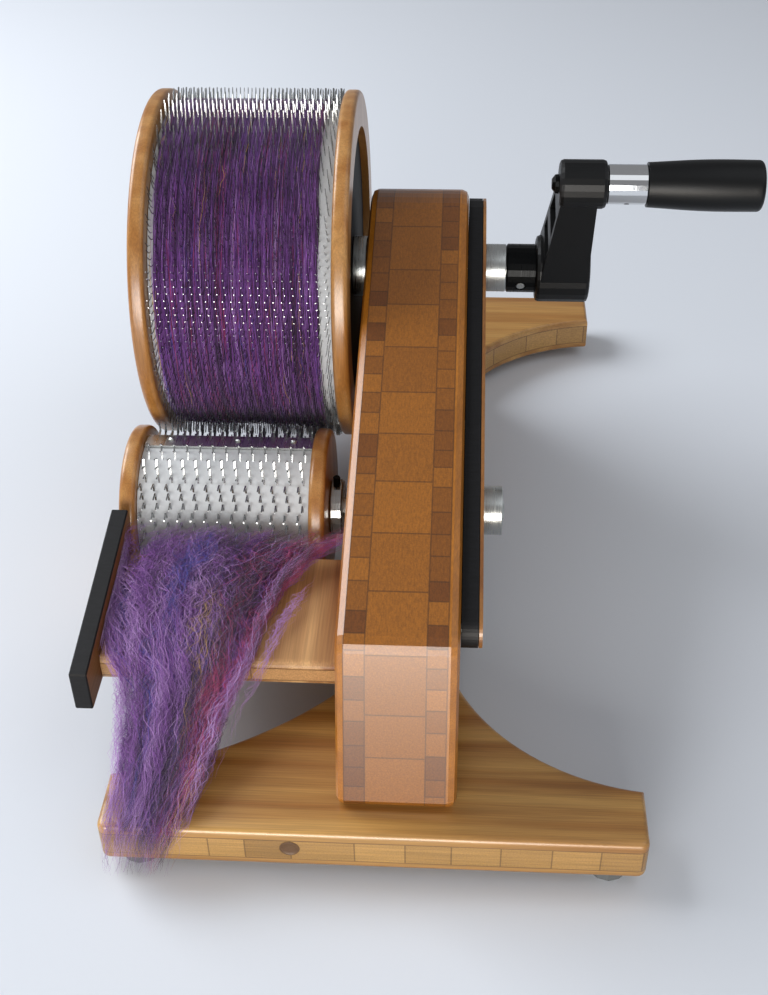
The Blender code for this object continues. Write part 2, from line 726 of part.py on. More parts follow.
def make_upright(bench, plate):
    """Laminated upright with its bearing seats, dowel holes and screw holes."""
    upright = add_piece(
        "upright", prism_mesh("upright", upright_outline(), 0, UPRIGHT_THICKNESS), "bamboo", bench
    )
    round_edges(upright, UPRIGHT_EDGE_RADIUS)
    combine(upright, shaft_bore_tools("drum_bore_tool", bench, DRUM_AXIS, DRUM_SHAFT_RADIUS))
    combine(upright, shaft_bore_tools("licker_bore_tool", bench, LICKER_AXIS, LICKER_SHAFT_RADIUS))
    make_bearings(bench)
    length = upright_foot_rear() - UPRIGHT_FRONT
    for name, share in zip(("front", "middle", "rear"), BASE_SCREW_SHARES):
        place = (UPRIGHT_THICKNESS / 2, UPRIGHT_FRONT + length * share, BASE_BOTTOM)
        screw_name = f"base_screw_{name}"
        mesh = turned_mesh(screw_name, screw_profile(BASE_SCREW_LENGTH), SMALL_SIDES, "Z")
        screw = add_piece(screw_name, mesh, "steel", bench, True)
        room = add_tool(
            f"{screw_name}_room",
            turned_mesh(f"{screw_name}_room", screw_room(BASE_SCREW_LENGTH), SMALL_SIDES, "Z"),
            bench,
        )
        for obj in (screw, room):
            obj.location = place
        combine(plate, room)
        combine(upright, room)
    return upright


def card_cloth_mesh(name, left, right, bore, radius, tooth_length, rows, columns, seam_rows, seam_angle, lean):
    """Card clothing: a backing ring from which bent wire teeth stand, except along its seam.

    Angles run from +Z towards +Y. Teeth stand in rows round the roller and in columns along it,
    staggered from row to row. Every tooth leans the same way, and its tip lies on one cylinder.
    """
    step = math.tau / rows
    pitch = (right - left) / columns
    tip_radius = radius + tooth_length
    half_wire = WIRE_WIDTH / 2

    def spot(along, out, angle):
        return Vector((along, out * math.sin(angle), out * math.cos(angle)))

    def tooth(work, corners, row, column):
        angle = seam_angle + (row - seam_rows / 2 + 1 / 2) * step
        around = spot(0, 1, angle + math.pi / 2)
        shift = STAGGER_SHARE if row % 2 else -STAGGER_SHARE
        along = left + (column + 1 / 2 + shift) * pitch
        root = spot(along, radius * math.cos(step / 2), angle)
        tip = work.verts.new(spot(along, tip_radius, angle + lean * TOOTH_LEAN / tip_radius))
        signs = ((-1, -1), (1, -1), (1, 1), (-1, 1))
        ring = [
            work.verts.new(root + Vector((half_wire * a, 0, 0)) + around * (half_wire * b)) for a, b in signs
        ]
        for index in range(len(signs)):
            following = (index + 1) % len(signs)
            work.faces.new((corners[index], corners[following], ring[following], ring[index]))
            work.faces.new((ring[index], ring[following], tip))

    def build(work):
        angles = [seam_angle + (row - seam_rows / 2) * step for row in range(rows)]
        face = [[work.verts.new(spot(left + pitch * c, radius, a)) for c in range(columns + 1)] for a in angles]
        inner = [[work.verts.new(spot(x, bore, a)) for x in (left, right)] for a in angles]
        for row in range(rows):
            after = (row + 1) % rows
            work.faces.new((inner[row][0], inner[row][1], inner[after][1], inner[after][0]))
            work.faces.new((inner[row][0], inner[after][0], face[after][0], face[row][0]))
            work.faces.new((inner[row][1], face[row][-1], face[after][-1], inner[after][1]))
            for column in range(columns):
                corners = (
                    face[row][column],
                    face[row][column + 1],
                    face[after][column + 1],
                    face[after][column],
                )
                if row < seam_rows:
                    work.faces.new(corners)
                else:
                    tooth(work, corners, row, column)

    return mesh_from(name, build)


def make_flange(name, parent, left, right, bore, radius):
    """Plywood flange with rounded rim."""
    profile = chamfered_ring(left, right, bore, radius, FLANGE_EDGE_RADIUS)
    return add_piece(name, turned_mesh(name, profile, LARGE_SIDES), "carbonised_bamboo", parent, True)


def make_drum(axle):
    """Drum: core, flanges, recessed end discs, card clothing, shaft, hub and end nut."""
    core_bore = DRUM_CORE_RADIUS - DRUM_CORE_WALL
    core_left = DRUM_CLOTH_LEFT + SEAT_GAP
    core_right = DRUM_CLOTH_RIGHT - SEAT_GAP
    core = turned_mesh(
        "drum_core",
        [
            (core_left, core_bore),
            (core_left, DRUM_CORE_RADIUS),
            (core_right, DRUM_CORE_RADIUS),
            (core_right, core_bore),
        ],
        LARGE_SIDES,
    )
    add_piece("drum_core", core, "core_board", axle, True)
    cloth_name = "drum_card_cloth"
    cloth = card_cloth_mesh(
        cloth_name,
        core_left,
        core_right,
        DRUM_CLOTH_BORE,
        DRUM_CLOTH_RADIUS,
        DRUM_TOOTH_LENGTH,
        DRUM_TOOTH_ROWS,
        DRUM_TOOTH_COLUMNS,
        DRUM_SEAM_ROWS,
        DRUM_SEAM_ANGLE,
        1,
    )
    add_piece(cloth_name, cloth, "card_cloth", axle)
    flange_bore = END_DISC_RADIUS + SEAT_GAP
    disc_bore = DRUM_SHAFT_RADIUS + SEAT_GAP
    for side, face, inward in (("left", DRUM_FLANGE_LEFT_FACE, 1), ("right", DRUM_FLANGE_RIGHT_FACE, -1)):
        inner = face + inward * FLANGE_THICKNESS
        make_flange(
            f"drum_flange_{side}", axle, min(face, inner), max(face, inner), flange_bore, DRUM_FLANGE_RADIUS
        )
        disc_out = face + inward * END_DISC_RECESS
        disc_in = disc_out + inward * END_DISC_THICKNESS
        disc_name = f"drum_end_disc_{side}"
        profile = [
            (disc_out, disc_bore),
            (disc_out, END_DISC_RADIUS),
            (disc_in, END_DISC_RADIUS),
            (disc_in, disc_bore),
        ]
        add_piece(disc_name, turned_mesh(disc_name, profile, LARGE_SIDES), "black_board", axle, True)
    shaft = chamfered_rod(DRUM_SHAFT_LEFT, CRANK_HUB_LEFT + SHAFT_ENTRY, DRUM_SHAFT_RADIUS, SHAFT_CHAMFER)
    add_piece("drum_shaft", turned_mesh("drum_shaft", shaft, SMALL_SIDES), "steel", axle, True)
    hub_left = DRUM_FLANGE_RIGHT_FACE - END_DISC_RECESS + SEAT_GAP
    hub_right = -SEAT_GAP - BEARING_FLANGE_THICKNESS - RUNNING_GAP
    hub = chamfered_ring(hub_left, hub_right, disc_bore, HUB_RADIUS, HUB_CHAMFER)
    add_piece("drum_hub", turned_mesh("drum_hub", hub, MEDIUM_SIDES), "steel", axle, True)
    nut_right = DRUM_FLANGE_LEFT_FACE + END_DISC_RECESS - SEAT_GAP
    nut = [
        (nut_right - END_NUT_THICKNESS, disc_bore),
        (nut_right - END_NUT_THICKNESS, END_NUT_RADIUS),
        (nut_right, END_NUT_RADIUS),
        (nut_right, disc_bore),
    ]
    add_piece("drum_end_nut", hex_ring_mesh("drum_end_nut", nut), "steel", axle)


def hex_ring_mesh(name, profile):
    """Nut: six flats outside and a round bore, from a (along, radius) loop like that of a ring."""
    per_flat = SMALL_SIDES // END_NUT_SIDES
    half_flat = math.pi / END_NUT_SIDES

    def flat_radius(angle, radius):
        return radius * math.cos(half_flat) / math.cos((angle % (2 * half_flat)) - half_flat)

    def build(work):
        rings = []
        for index, (along, radius) in enumerate(profile):
            ring = []
            for step in range(per_flat * END_NUT_SIDES):
                angle = math.tau * step / (per_flat * END_NUT_SIDES)
                out = radius if index in (0, len(profile) - 1) else flat_radius(angle, radius)
                ring.append(work.verts.new((along, out * math.cos(angle), out * math.sin(angle))))
            rings.append(ring)
        for first, second in zip(rings, rings[1:] + rings[:1]):
            for step in range(len(first)):
                following = (step + 1) % len(first)
                work.faces.new((first[step], first[following], second[following], second[step]))

    return mesh_from(name, build)


def seam_bar_mesh(name, left, right):
    """Metal strip bent to the roller, with domed pins along it."""
    inner = LICKER_CLOTH_RADIUS + SEAT_GAP
    outer = inner + SEAM_BAR_THICKNESS
    half = SEAM_BAR_WIDTH / 2 / inner
    steps = ARC_STEPS // 2

    def section(along):
        below = arc(Vector((0, 0)), inner, math.pi / 2 - half, math.pi / 2 + half, steps)
        above = arc(Vector((0, 0)), outer, math.pi / 2 + half, math.pi / 2 - half, steps)
        return [(along, point.x, point.y) for point in below + above]

    return loft_mesh(name, [section(left), section(right)])


def make_licker(axle):
    """Licker-in: core, flanges, card clothing with its seam bar, shaft and inner collar."""
    core_left = LICKER_CLOTH_LEFT + SEAT_GAP
    core_right = LICKER_CLOTH_RIGHT - SEAT_GAP
    bore = LICKER_SHAFT_RADIUS + SEAT_GAP
    core = [
        (core_left, bore),
        (core_left, LICKER_CORE_RADIUS),
        (core_right, LICKER_CORE_RADIUS),
        (core_right, bore),
    ]
    add_piece("licker_core", turned_mesh("licker_core", core, LARGE_SIDES), "core_board", axle, True)
    cloth_name = "licker_card_cloth"
    cloth = card_cloth_mesh(
        cloth_name,
        core_left,
        core_right,
        LICKER_CLOTH_BORE,
        LICKER_CLOTH_RADIUS,
        LICKER_TOOTH_LENGTH,
        LICKER_TOOTH_ROWS,
        LICKER_TOOTH_COLUMNS,
        LICKER_SEAM_ROWS,
        LICKER_SEAM_ANGLE,
        -1,
    )
    add_piece(cloth_name, cloth, "card_cloth", axle)
    for side, low in (("left", LICKER_FLANGE_LEFT_FACE), ("right", LICKER_CLOTH_RIGHT)):
        make_flange(f"licker_flange_{side}", axle, low, low + FLANGE_THICKNESS, bore, LICKER_FLANGE_RADIUS)
    bar = add_piece("licker_seam_bar", seam_bar_mesh("licker_seam_bar", core_left, core_right), "steel", axle)
    bar.rotation_euler.x = -LICKER_SEAM_ANGLE
    pin_root = LICKER_CLOTH_RADIUS + SEAT_GAP + SEAM_BAR_THICKNESS / 2
    pin_top = LICKER_CLOTH_RADIUS + SEAT_GAP + SEAM_BAR_THICKNESS + SEAM_PIN_HEIGHT
    for index, share in enumerate(SEAM_PIN_SHARES):
        profile = [
            (pin_root, 0),
            (pin_root, SEAM_PIN_RADIUS),
            (pin_top - SEAM_PIN_HEIGHT / 2, SEAM_PIN_RADIUS),
            (pin_top, SEAM_PIN_RADIUS / 2),
            (pin_top, 0),
        ]
        name = f"seam_pin_tool_{index}"
        pin = add_tool(name, turned_mesh(name, profile, TINY_SIDES, "Z"), bar)
        pin.location.x = core_left + (core_right - core_left) * share
        combine(bar, pin, "UNION")
    shaft_left = LICKER_FLANGE_LEFT_FACE
    shaft_right = COLLAR_LEFT + COLLAR_LENGTH + LICKER_SHAFT_PROUD
    shaft = chamfered_rod(shaft_left, shaft_right, LICKER_SHAFT_RADIUS, SHAFT_CHAMFER)
    add_piece("licker_shaft", turned_mesh("licker_shaft", shaft, SMALL_SIDES), "steel", axle, True)
    make_licker_collar(axle, bore)


def make_licker_collar(axle, bore):
    """Collar beside the licker-in's right flange, with the screw that clamps it to the shaft."""
    left = LICKER_FLANGE_RIGHT_FACE + SEAT_GAP
    right = left + LICKER_COLLAR_LENGTH
    name = "licker_inner_collar"
    profile = chamfered_ring(left, right, bore, LICKER_COLLAR_RADIUS, HUB_CHAMFER)
    collar = add_piece(name, turned_mesh(name, profile, MEDIUM_SIDES), "steel", axle, True)
    seat = LICKER_COLLAR_RADIUS - COLLAR_SCREW_SEAT
    hole = [
        (seat, 0),
        (seat, COLLAR_SCREW_RADIUS + SEAT_GAP),
        (LICKER_COLLAR_RADIUS + CUT_OVERRUN, COLLAR_SCREW_RADIUS + SEAT_GAP),
        (LICKER_COLLAR_RADIUS + CUT_OVERRUN, 0),
    ]
    tool = add_tool("collar_screw_room", turned_mesh("collar_screw_room", hole, TINY_SIDES, "Z"), axle)
    screw_name = "licker_collar_screw"
    screw_profile_points = chamfered_rod(
        seat + SEAT_GAP, LICKER_COLLAR_RADIUS + COLLAR_SCREW_PROUD, COLLAR_SCREW_RADIUS, SEAT_GAP
    )
    mesh = turned_mesh(screw_name, screw_profile_points, TINY_SIDES, "Z")
    screw = add_piece(screw_name, mesh, "black_steel", axle, True)
    for obj in (tool, screw):
        obj.location.x = (left + right) / 2
    combine(collar, tool)


def make_outer_collars(drum_axle, licker_axle):
    """Steel collars outside the belt cover, one on each shaft."""
    for name, axle, shaft_radius in (
        ("drum_outer_collar", drum_axle, DRUM_SHAFT_RADIUS),
        ("licker_outer_collar", licker_axle, LICKER_SHAFT_RADIUS),
    ):
        profile = chamfered_ring(
            COLLAR_LEFT, COLLAR_RIGHT, shaft_radius + SEAT_GAP, COLLAR_RADIUS, HUB_CHAMFER
        )
        add_piece(name, turned_mesh(name, profile, MEDIUM_SIDES), "steel", axle, True)


def pulley_profile(belt_radius, shaft_radius):
    """Profile of a pulley with a flat belt track between two rims."""
    left = HOUSING_LEFT + PULLEY_END_GAP
    right = HOUSING_RIGHT - PULLEY_END_GAP
    bore = shaft_radius + SEAT_GAP
    track = belt_radius - BELT_RADIUS - SEAT_GAP
    rim = track + PULLEY_RIM_HEIGHT
    return [
        (left, bore),
        (left, rim),
        (left + PULLEY_RIM, rim),
        (left + PULLEY_RIM, track),
        (right - PULLEY_RIM, track),
        (right - PULLEY_RIM, rim),
        (right, rim),
        (right, bore),
    ]


def belt_route():
    """Points of the crossed belt's centre line, whose two runs pass side by side where they cross."""
    way = LICKER_AXIS - DRUM_AXIS
    heading = math.atan2(way.y, way.x)
    opening = math.acos((DRUM_BELT_RADIUS + LICKER_BELT_RADIUS) / way.length)
    sweep = math.tau - 2 * opening
    points = []

    def turn(centre, radius, start, sense):
        steps = round(sweep / BELT_ARC_STEP)
        for step in range(steps + 1):
            place = centre + direction(start + sense * sweep * step / steps) * radius
            points.append(Vector((BELT_MIDDLE, place.x, place.y)))

    def run(start, end, side):
        for step in range(1, BELT_STRAIGHT_STEPS):
            share = step / BELT_STRAIGHT_STEPS
            place = start.lerp(end, share)
            offset = side * BELT_CROSS_OFFSET * math.sin(math.pi * share)
            points.append(Vector((BELT_MIDDLE + offset, place.x, place.y)))

    drum_out = DRUM_AXIS + direction(heading + opening) * DRUM_BELT_RADIUS
    drum_in = DRUM_AXIS + direction(heading - opening) * DRUM_BELT_RADIUS
    licker_in = LICKER_AXIS + direction(heading + opening + math.pi) * LICKER_BELT_RADIUS
    licker_out = LICKER_AXIS + direction(heading - opening + math.pi) * LICKER_BELT_RADIUS
    turn(DRUM_AXIS, DRUM_BELT_RADIUS, heading - opening, -1)
    run(drum_out, licker_in, 1)
    turn(LICKER_AXIS, LICKER_BELT_RADIUS, heading + opening + math.pi, 1)
    run(licker_out, drum_in, -1)
    return points


def make_belt(bench):
    """Round belt, crossed once so that drum and licker-in turn opposite ways."""
    curve = bpy.data.curves.new("drive_belt", "CURVE")
    curve.dimensions = "3D"
    route = belt_route()
    spline = curve.splines.new("POLY")
    spline.points.add(len(route) - 1)
    for point, place in zip(spline.points, route):
        point.co = (*place, 1)
    spline.use_cyclic_u = True
    curve.bevel_depth = BELT_RADIUS
    curve.bevel_resolution = 1
    curve.use_fill_caps = True
    belt = bpy.data.objects.new("drive_belt", curve)
    bpy.context.scene.collection.objects.link(belt)
    belt.parent = bench
    curve.materials.append(finish("belt_rubber"))


def nose_centre():
    """Centre of the housing's rounded nose, set in from the slope of the upright."""
    knee = Vector((UPRIGHT_FRONT + FRONT_RAKE, BASE_TOP + FRONT_HEIGHT))
    reach = DRUM_AXIS - knee
    slope = math.atan2(reach.y, reach.x) + math.asin(CROWN_RADIUS / reach.length)
    run = HOUSING_NOSE_SETBACK - FRONT_RAKE
    drop = (HOUSING_NOSE_INSET + HOUSING_NOSE_RADIUS) / math.cos(slope)
    return Vector((knee.x + run, knee.y + run * math.tan(slope) - drop))


def cover_screw_places():
    """Where the three cover screws stand, as (y, z)."""
    nose = nose_centre()
    rear = DRUM_AXIS + Vector((HOUSING_DRUM_RADIUS * COVER_SCREW_REAR_SHARE, 0))
    return {"front": nose, "middle": nose.lerp(DRUM_AXIS, COVER_SCREW_MID_SHARE), "rear": rear}


def make_belt_drive(bench, drum_axle, licker_axle, upright):
    """Housing, cover, screws, pulleys and belt on the right face of the upright."""
    outline = belt_round(
        [
            (nose_centre(), HOUSING_NOSE_RADIUS),
            (LICKER_AXIS, HOUSING_LICKER_RADIUS),
            (DRUM_AXIS, HOUSING_DRUM_RADIUS),
        ]
    )
    housing = add_piece(
        "belt_housing", prism_mesh("belt_housing", outline, HOUSING_LEFT, HOUSING_RIGHT), "charred_board", bench
    )
    cover = add_piece(
        "belt_cover", prism_mesh("belt_cover", outline, COVER_LEFT, COVER_RIGHT), "carbonised_bamboo", bench
    )
    cavity = belt_round([(LICKER_AXIS, CAVITY_LICKER_RADIUS), (DRUM_AXIS, CAVITY_DRUM_RADIUS)])
    cavity_tool = add_tool(
        "belt_cavity_tool",
        prism_mesh("belt_cavity_tool", cavity, HOUSING_LEFT - CUT_OVERRUN, HOUSING_RIGHT + CUT_OVERRUN),
        bench,
    )
    combine(housing, cavity_tool)
    make_cover_screws(bench, (upright, housing, cover))
    for roller, axis, axle, shaft_radius, belt_radius in (
        ("drum", DRUM_AXIS, drum_axle, DRUM_SHAFT_RADIUS, DRUM_BELT_RADIUS),
        ("licker", LICKER_AXIS, licker_axle, LICKER_SHAFT_RADIUS, LICKER_BELT_RADIUS),
    ):
        hole_radius = shaft_radius + SHAFT_TUNNEL_GAP
        tool_name = f"{roller}_cover_hole_tool"
        left = COVER_LEFT - CUT_OVERRUN
        right = COVER_RIGHT + CUT_OVERRUN
        profile = [(left, 0), (left, hole_radius), (right, hole_radius), (right, 0)]
        tool = add_tool(tool_name, turned_mesh(tool_name, profile, SMALL_SIDES), bench)
        tool.location = (0, axis.x, axis.y)
        combine(cover, tool)
        name = f"{roller}_pulley"
        mesh = turned_mesh(name, pulley_profile(belt_radius, shaft_radius), MEDIUM_SIDES)
        add_piece(name, mesh, "black_plastic", axle, True)
    make_belt(bench)


def make_cover_screws(bench, pieces):
    """Countersunk screws through the cover and the housing into the upright, seated in all three."""
    for name, place in cover_screw_places().items():
        screw_name = f"cover_screw_{name}"
        profile = mirrored_profile(screw_profile(COVER_SCREW_LENGTH), COVER_RIGHT, -1)
        room_profile = mirrored_profile(screw_room(COVER_SCREW_LENGTH), COVER_RIGHT, -1)
        screw = add_piece(screw_name, turned_mesh(screw_name, profile, SMALL_SIDES), "steel", bench, True)
        room_name = f"{screw_name}_room"
        room = add_tool(room_name, turned_mesh(room_name, room_profile, SMALL_SIDES), bench)
        for obj in (screw, room):
            obj.location = (0, place.x, place.y)
        for piece in pieces:
            combine(piece, room)


def make_tray(bench, upright):
    """Infeed tray on two dowels, with its side guard screwed to the free end."""
    tray_outline = [
        Vector((TRAY_FRONT, TRAY_BOTTOM)),
        Vector((TRAY_REAR, TRAY_BOTTOM)),
        Vector((TRAY_REAR, TRAY_TOP)),
        Vector((TRAY_FRONT, TRAY_TOP)),
    ]
    rounded = rounded_outline([(corner, TRAY_EDGE_RADIUS) for corner in tray_outline], FILLET_STEPS + 1)
    tray = add_piece(
        "infeed_tray", prism_mesh("infeed_tray", rounded, TRAY_LEFT, TRAY_RIGHT), "bamboo", bench
    )
    guard_outline = [
        Vector((TRAY_FRONT - GUARD_NOSE, TRAY_BOTTOM)),
        Vector((TRAY_REAR + GUARD_TAIL, TRAY_BOTTOM)),
        Vector((TRAY_REAR + GUARD_TAIL, TRAY_BOTTOM + GUARD_REAR_HEIGHT)),
        Vector((TRAY_FRONT - GUARD_NOSE, TRAY_BOTTOM + GUARD_FRONT_HEIGHT)),
    ]
    guard = add_piece(
        "tray_guard", prism_mesh("tray_guard", guard_outline, GUARD_LEFT, GUARD_RIGHT), "charred_board", bench
    )
    round_edges(guard, GUARD_EDGE_RADIUS, 1)
    clear_radius = LICKER_TIP_RADIUS + GUARD_LICKER_GAP
    left = GUARD_LEFT - CUT_OVERRUN
    right = GUARD_RIGHT + CUT_OVERRUN
    profile = [(left, 0), (left, clear_radius), (right, clear_radius), (right, 0)]
    relief = add_tool("guard_relief_tool", turned_mesh("guard_relief_tool", profile, LARGE_SIDES), bench)
    relief.location = (0, LICKER_AXIS.x, LICKER_AXIS.y)
    combine(guard, relief)
    make_tray_fixings(bench, upright, tray, guard)


def make_tray_fixings(bench, upright, tray, guard):
    """Dowels between tray and upright, and screws between guard and tray."""
    for name, share in zip(("front", "rear"), TRAY_FIXING_SHARES):
        place = (0, TRAY_FRONT + TRAY_DEPTH * share, TRAY_MIDDLE)
        half = DOWEL_LENGTH / 2
        dowel_name = f"tray_dowel_{name}"
        dowel_mesh = turned_mesh(dowel_name, chamfered_rod(-half, half, DOWEL_RADIUS, DOWEL_CHAMFER), SMALL_SIDES)
        dowel = add_piece(dowel_name, dowel_mesh, "beech", bench, True)
        room_half = half + SEAT_GAP
        room_radius = DOWEL_RADIUS + SEAT_GAP
        room_profile = [(-room_half, 0), (-room_half, room_radius), (room_half, room_radius), (room_half, 0)]
        room_name = f"{dowel_name}_room"
        dowel_room = add_tool(room_name, turned_mesh(room_name, room_profile, SMALL_SIDES), bench)
        combine(upright, dowel_room)
        combine(tray, dowel_room)
        screw_name = f"guard_screw_{name}"
        profile = mirrored_profile(screw_profile(GUARD_SCREW_LENGTH), GUARD_LEFT)
        screw = add_piece(screw_name, turned_mesh(screw_name, profile, SMALL_SIDES), "steel", bench, True)
        screw_room_name = f"{screw_name}_room"
        screw_room_profile = mirrored_profile(screw_room(GUARD_SCREW_LENGTH), GUARD_LEFT)
        screw_tool = add_tool(
            screw_room_name, turned_mesh(screw_room_name, screw_room_profile, SMALL_SIDES), bench
        )
        combine(guard, screw_tool)
        combine(tray, screw_tool)
        for obj in (dowel, dowel_room, screw, screw_tool):
            obj.location = place


def hub_with_spigot():
    """Profile of the crank hub: sleeve outside, spigot inside the arm, blind bore for the shaft."""
    bore = DRUM_SHAFT_RADIUS + RUNNING_GAP
    bore_end = CRANK_HUB_LEFT + SHAFT_ENTRY + SEAT_GAP
    spigot_end = CRANK_HUB_RIGHT + CRANK_SPIGOT_LENGTH
    return [
        (bore_end, 0),
        (bore_end, bore),
        (CRANK_HUB_LEFT, bore),
        (CRANK_HUB_LEFT, CRANK_HUB_RADIUS - HUB_CHAMFER),
        (CRANK_HUB_LEFT + HUB_CHAMFER, CRANK_HUB_RADIUS),
        (CRANK_HUB_RIGHT, CRANK_HUB_RADIUS),
        (CRANK_HUB_RIGHT, SPIGOT_RADIUS),
        (spigot_end, SPIGOT_RADIUS),
        (spigot_end, 0),
    ]


def arm_left_face(up):
    """X of the arm's inner face at a height above the crank's axis: it leans out towards the grip."""
    return ARM_LEFT + ARM_SIDE_INSET + UPPER_BOSS_OFFSET * up / CRANK_RADIUS


def arm_corners(low, high, inset):
    """Corners of the tapered arm between two heights, as (across, up), set in from its bosses."""
    taper = (UPPER_BOSS_RADIUS - LOWER_BOSS_RADIUS) / CRANK_RADIUS
    low_half = LOWER_BOSS_RADIUS + taper * low - inset
    high_half = LOWER_BOSS_RADIUS + taper * high - inset
    return [(-low_half, low), (low_half, low), (high_half, high), (-high_half, high)]


def arm_web_mesh(name):
    """Body of the arm between its bosses, with a leaning inner face and a straight outer face."""
    corners = arm_corners(0, CRANK_RADIUS, ARM_SIDE_INSET)
    right = ARM_LEFT + LOWER_BOSS_LENGTH - ARM_RIGHT_INSET
    left_ring = [Vector((arm_left_face(up), across, up)) for across, up in corners]
    right_ring = [Vector((right, across, up)) for across, up in corners]
    return loft_mesh(name, [left_ring, right_ring])


def pocket_mesh(name, low_share, high_share):
    """Pocket in the inner face of the arm, between two shares of its length."""
    inset = ARM_SIDE_INSET + ARM_WALL
    corners = arm_corners(CRANK_RADIUS * low_share, CRANK_RADIUS * high_share, inset)
    mouth = [Vector((arm_left_face(up) - CUT_OVERRUN, across, up)) for across, up in corners]
    floor = [Vector((arm_left_face(up) + ARM_POCKET_DEPTH, across, up)) for across, up in corners]
    return loft_mesh(name, [mouth, floor])


def make_crank(crank):
    """Crank: steel hub with its set screw, moulded arm, spindle, sleeve."""
    hub = add_piece(
        "crank_hub", turned_mesh("crank_hub", hub_with_spigot(), MEDIUM_SIDES), "black_steel", crank, True
    )
    screw_place = CRANK_HUB_LEFT + CRANK_HUB_LENGTH * SET_SCREW_SHARE
    shaft_face = DRUM_SHAFT_RADIUS + SEAT_GAP
    screw_end = CRANK_HUB_RADIUS - SET_SCREW_SINK
    name = "crank_set_screw"
    screw_profile_points = chamfered_rod(-screw_end, -shaft_face, SET_SCREW_RADIUS, SEAT_GAP)
    screw = add_piece(name, turned_mesh(name, screw_profile_points, TINY_SIDES, "Y"), "steel", crank, True)
    room_radius = SET_SCREW_RADIUS + SEAT_GAP
    room_end = -CRANK_HUB_RADIUS - CUT_OVERRUN
    room_profile = [(room_end, 0), (room_end, room_radius), (-shaft_face / 2, room_radius), (-shaft_face / 2, 0)]
    room = add_tool("set_screw_room", turned_mesh("set_screw_room", room_profile, TINY_SIDES, "Y"), crank)
    for obj in (screw, room):
        obj.location.x = screw_place
    combine(hub, room)
    make_arm(crank)
    make_spindle(crank)


def make_arm(crank):
    """Moulded arm: leaning web joined to two bosses, bored, with pockets in its inner face."""
    arm = add_piece("crank_arm", arm_web_mesh("crank_arm"), "black_plastic", crank)
    lower_right = ARM_LEFT + LOWER_BOSS_LENGTH
    lower = filleted_ring(ARM_LEFT, lower_right, 0, LOWER_BOSS_RADIUS, BOSS_FILLET)
    upper = filleted_ring(UPPER_BOSS_LEFT, UPPER_BOSS_RIGHT, 0, UPPER_BOSS_RADIUS, BOSS_FILLET)
    for name, profile, up in (("lower_boss_tool", lower, 0), ("upper_boss_tool", upper, CRANK_RADIUS)):
        boss = add_tool(name, turned_mesh(name, profile, MEDIUM_SIDES), crank)
        boss.location.z = up
        combine(arm, boss, "UNION")
    first, second = ARM_RIB_SHARES
    low = (LOWER_BOSS_RADIUS + ARM_WALL) / CRANK_RADIUS
    high = 1 - (UPPER_BOSS_RADIUS + ARM_WALL) / CRANK_RADIUS
    for name, start, end in (("lower_pocket_tool", low, first), ("upper_pocket_tool", second, high)):
        combine(arm, add_tool(name, pocket_mesh(name, start, end), crank))
    bore_end = CRANK_HUB_RIGHT + CRANK_SPIGOT_LENGTH + SEAT_GAP
    bore = SPIGOT_RADIUS + SEAT_GAP
    spigot_room = [(ARM_LEFT - CUT_OVERRUN, 0), (ARM_LEFT - CUT_OVERRUN, bore), (bore_end, bore), (bore_end, 0)]
    combine(arm, add_tool("spigot_room", turned_mesh("spigot_room", spigot_room, MEDIUM_SIDES), crank))
    pin_bore = SPINDLE_RADIUS + SEAT_GAP
    left = UPPER_BOSS_LEFT - CUT_OVERRUN
    right = UPPER_BOSS_RIGHT + CUT_OVERRUN
    spindle_room = [(left, 0), (left, pin_bore), (right, pin_bore), (right, 0)]
    tool = add_tool("spindle_room", turned_mesh("spindle_room", spindle_room, SMALL_SIDES), crank)
    tool.location.z = CRANK_RADIUS
    combine(arm, tool)


def make_spindle(crank):
    """Headed spindle through the arm and the chrome sleeve that stands off the grip."""
    head_face = UPPER_BOSS_LEFT - SEAT_GAP
    end = GRIP_RIGHT - GRIP_END_WALL - SPINDLE_END_GAP
    profile = [
        (head_face - SPINDLE_HEAD_HEIGHT, 0),
        (head_face - SPINDLE_HEAD_HEIGHT, SPINDLE_HEAD_RADIUS / 2),
        (head_face - SPINDLE_HEAD_HEIGHT / 2, SPINDLE_HEAD_RADIUS - SEAT_GAP),
        (head_face, SPINDLE_HEAD_RADIUS),
        (head_face, SPINDLE_RADIUS),
        (end, SPINDLE_RADIUS),
        (end, 0),
    ]
    spindle = add_piece(
        "grip_spindle", turned_mesh("grip_spindle", profile, SMALL_SIDES), "black_steel", crank, True
    )
    sleeve_profile = chamfered_ring(
        SLEEVE_LEFT, SLEEVE_RIGHT, SPINDLE_RADIUS + SEAT_GAP, SLEEVE_RADIUS, SEAT_GAP
    )
    sleeve = add_piece(
        "grip_sleeve", turned_mesh("grip_sleeve", sleeve_profile, MEDIUM_SIDES), "chrome", crank, True
    )
    hole_start = SPINDLE_RADIUS + SEAT_GAP / 2
    hole_end = SLEEVE_RADIUS + CUT_OVERRUN
    hole = [
        (hole_start, 0),
        (hole_start, SLEEVE_HOLE_RADIUS),
        (hole_end, SLEEVE_HOLE_RADIUS),
        (hole_end, 0),
    ]
    tool = add_tool("sleeve_hole_tool", turned_mesh("sleeve_hole_tool", hole, TINY_SIDES, "Z"), crank)
    tool.location = ((SLEEVE_LEFT + SLEEVE_RIGHT) / 2, 0, CRANK_RADIUS)
    tool.rotation_euler.x = SLEEVE_HOLE_ANGLE
    combine(sleeve, tool)
    for obj in (spindle, sleeve):
        obj.location.z = CRANK_RADIUS


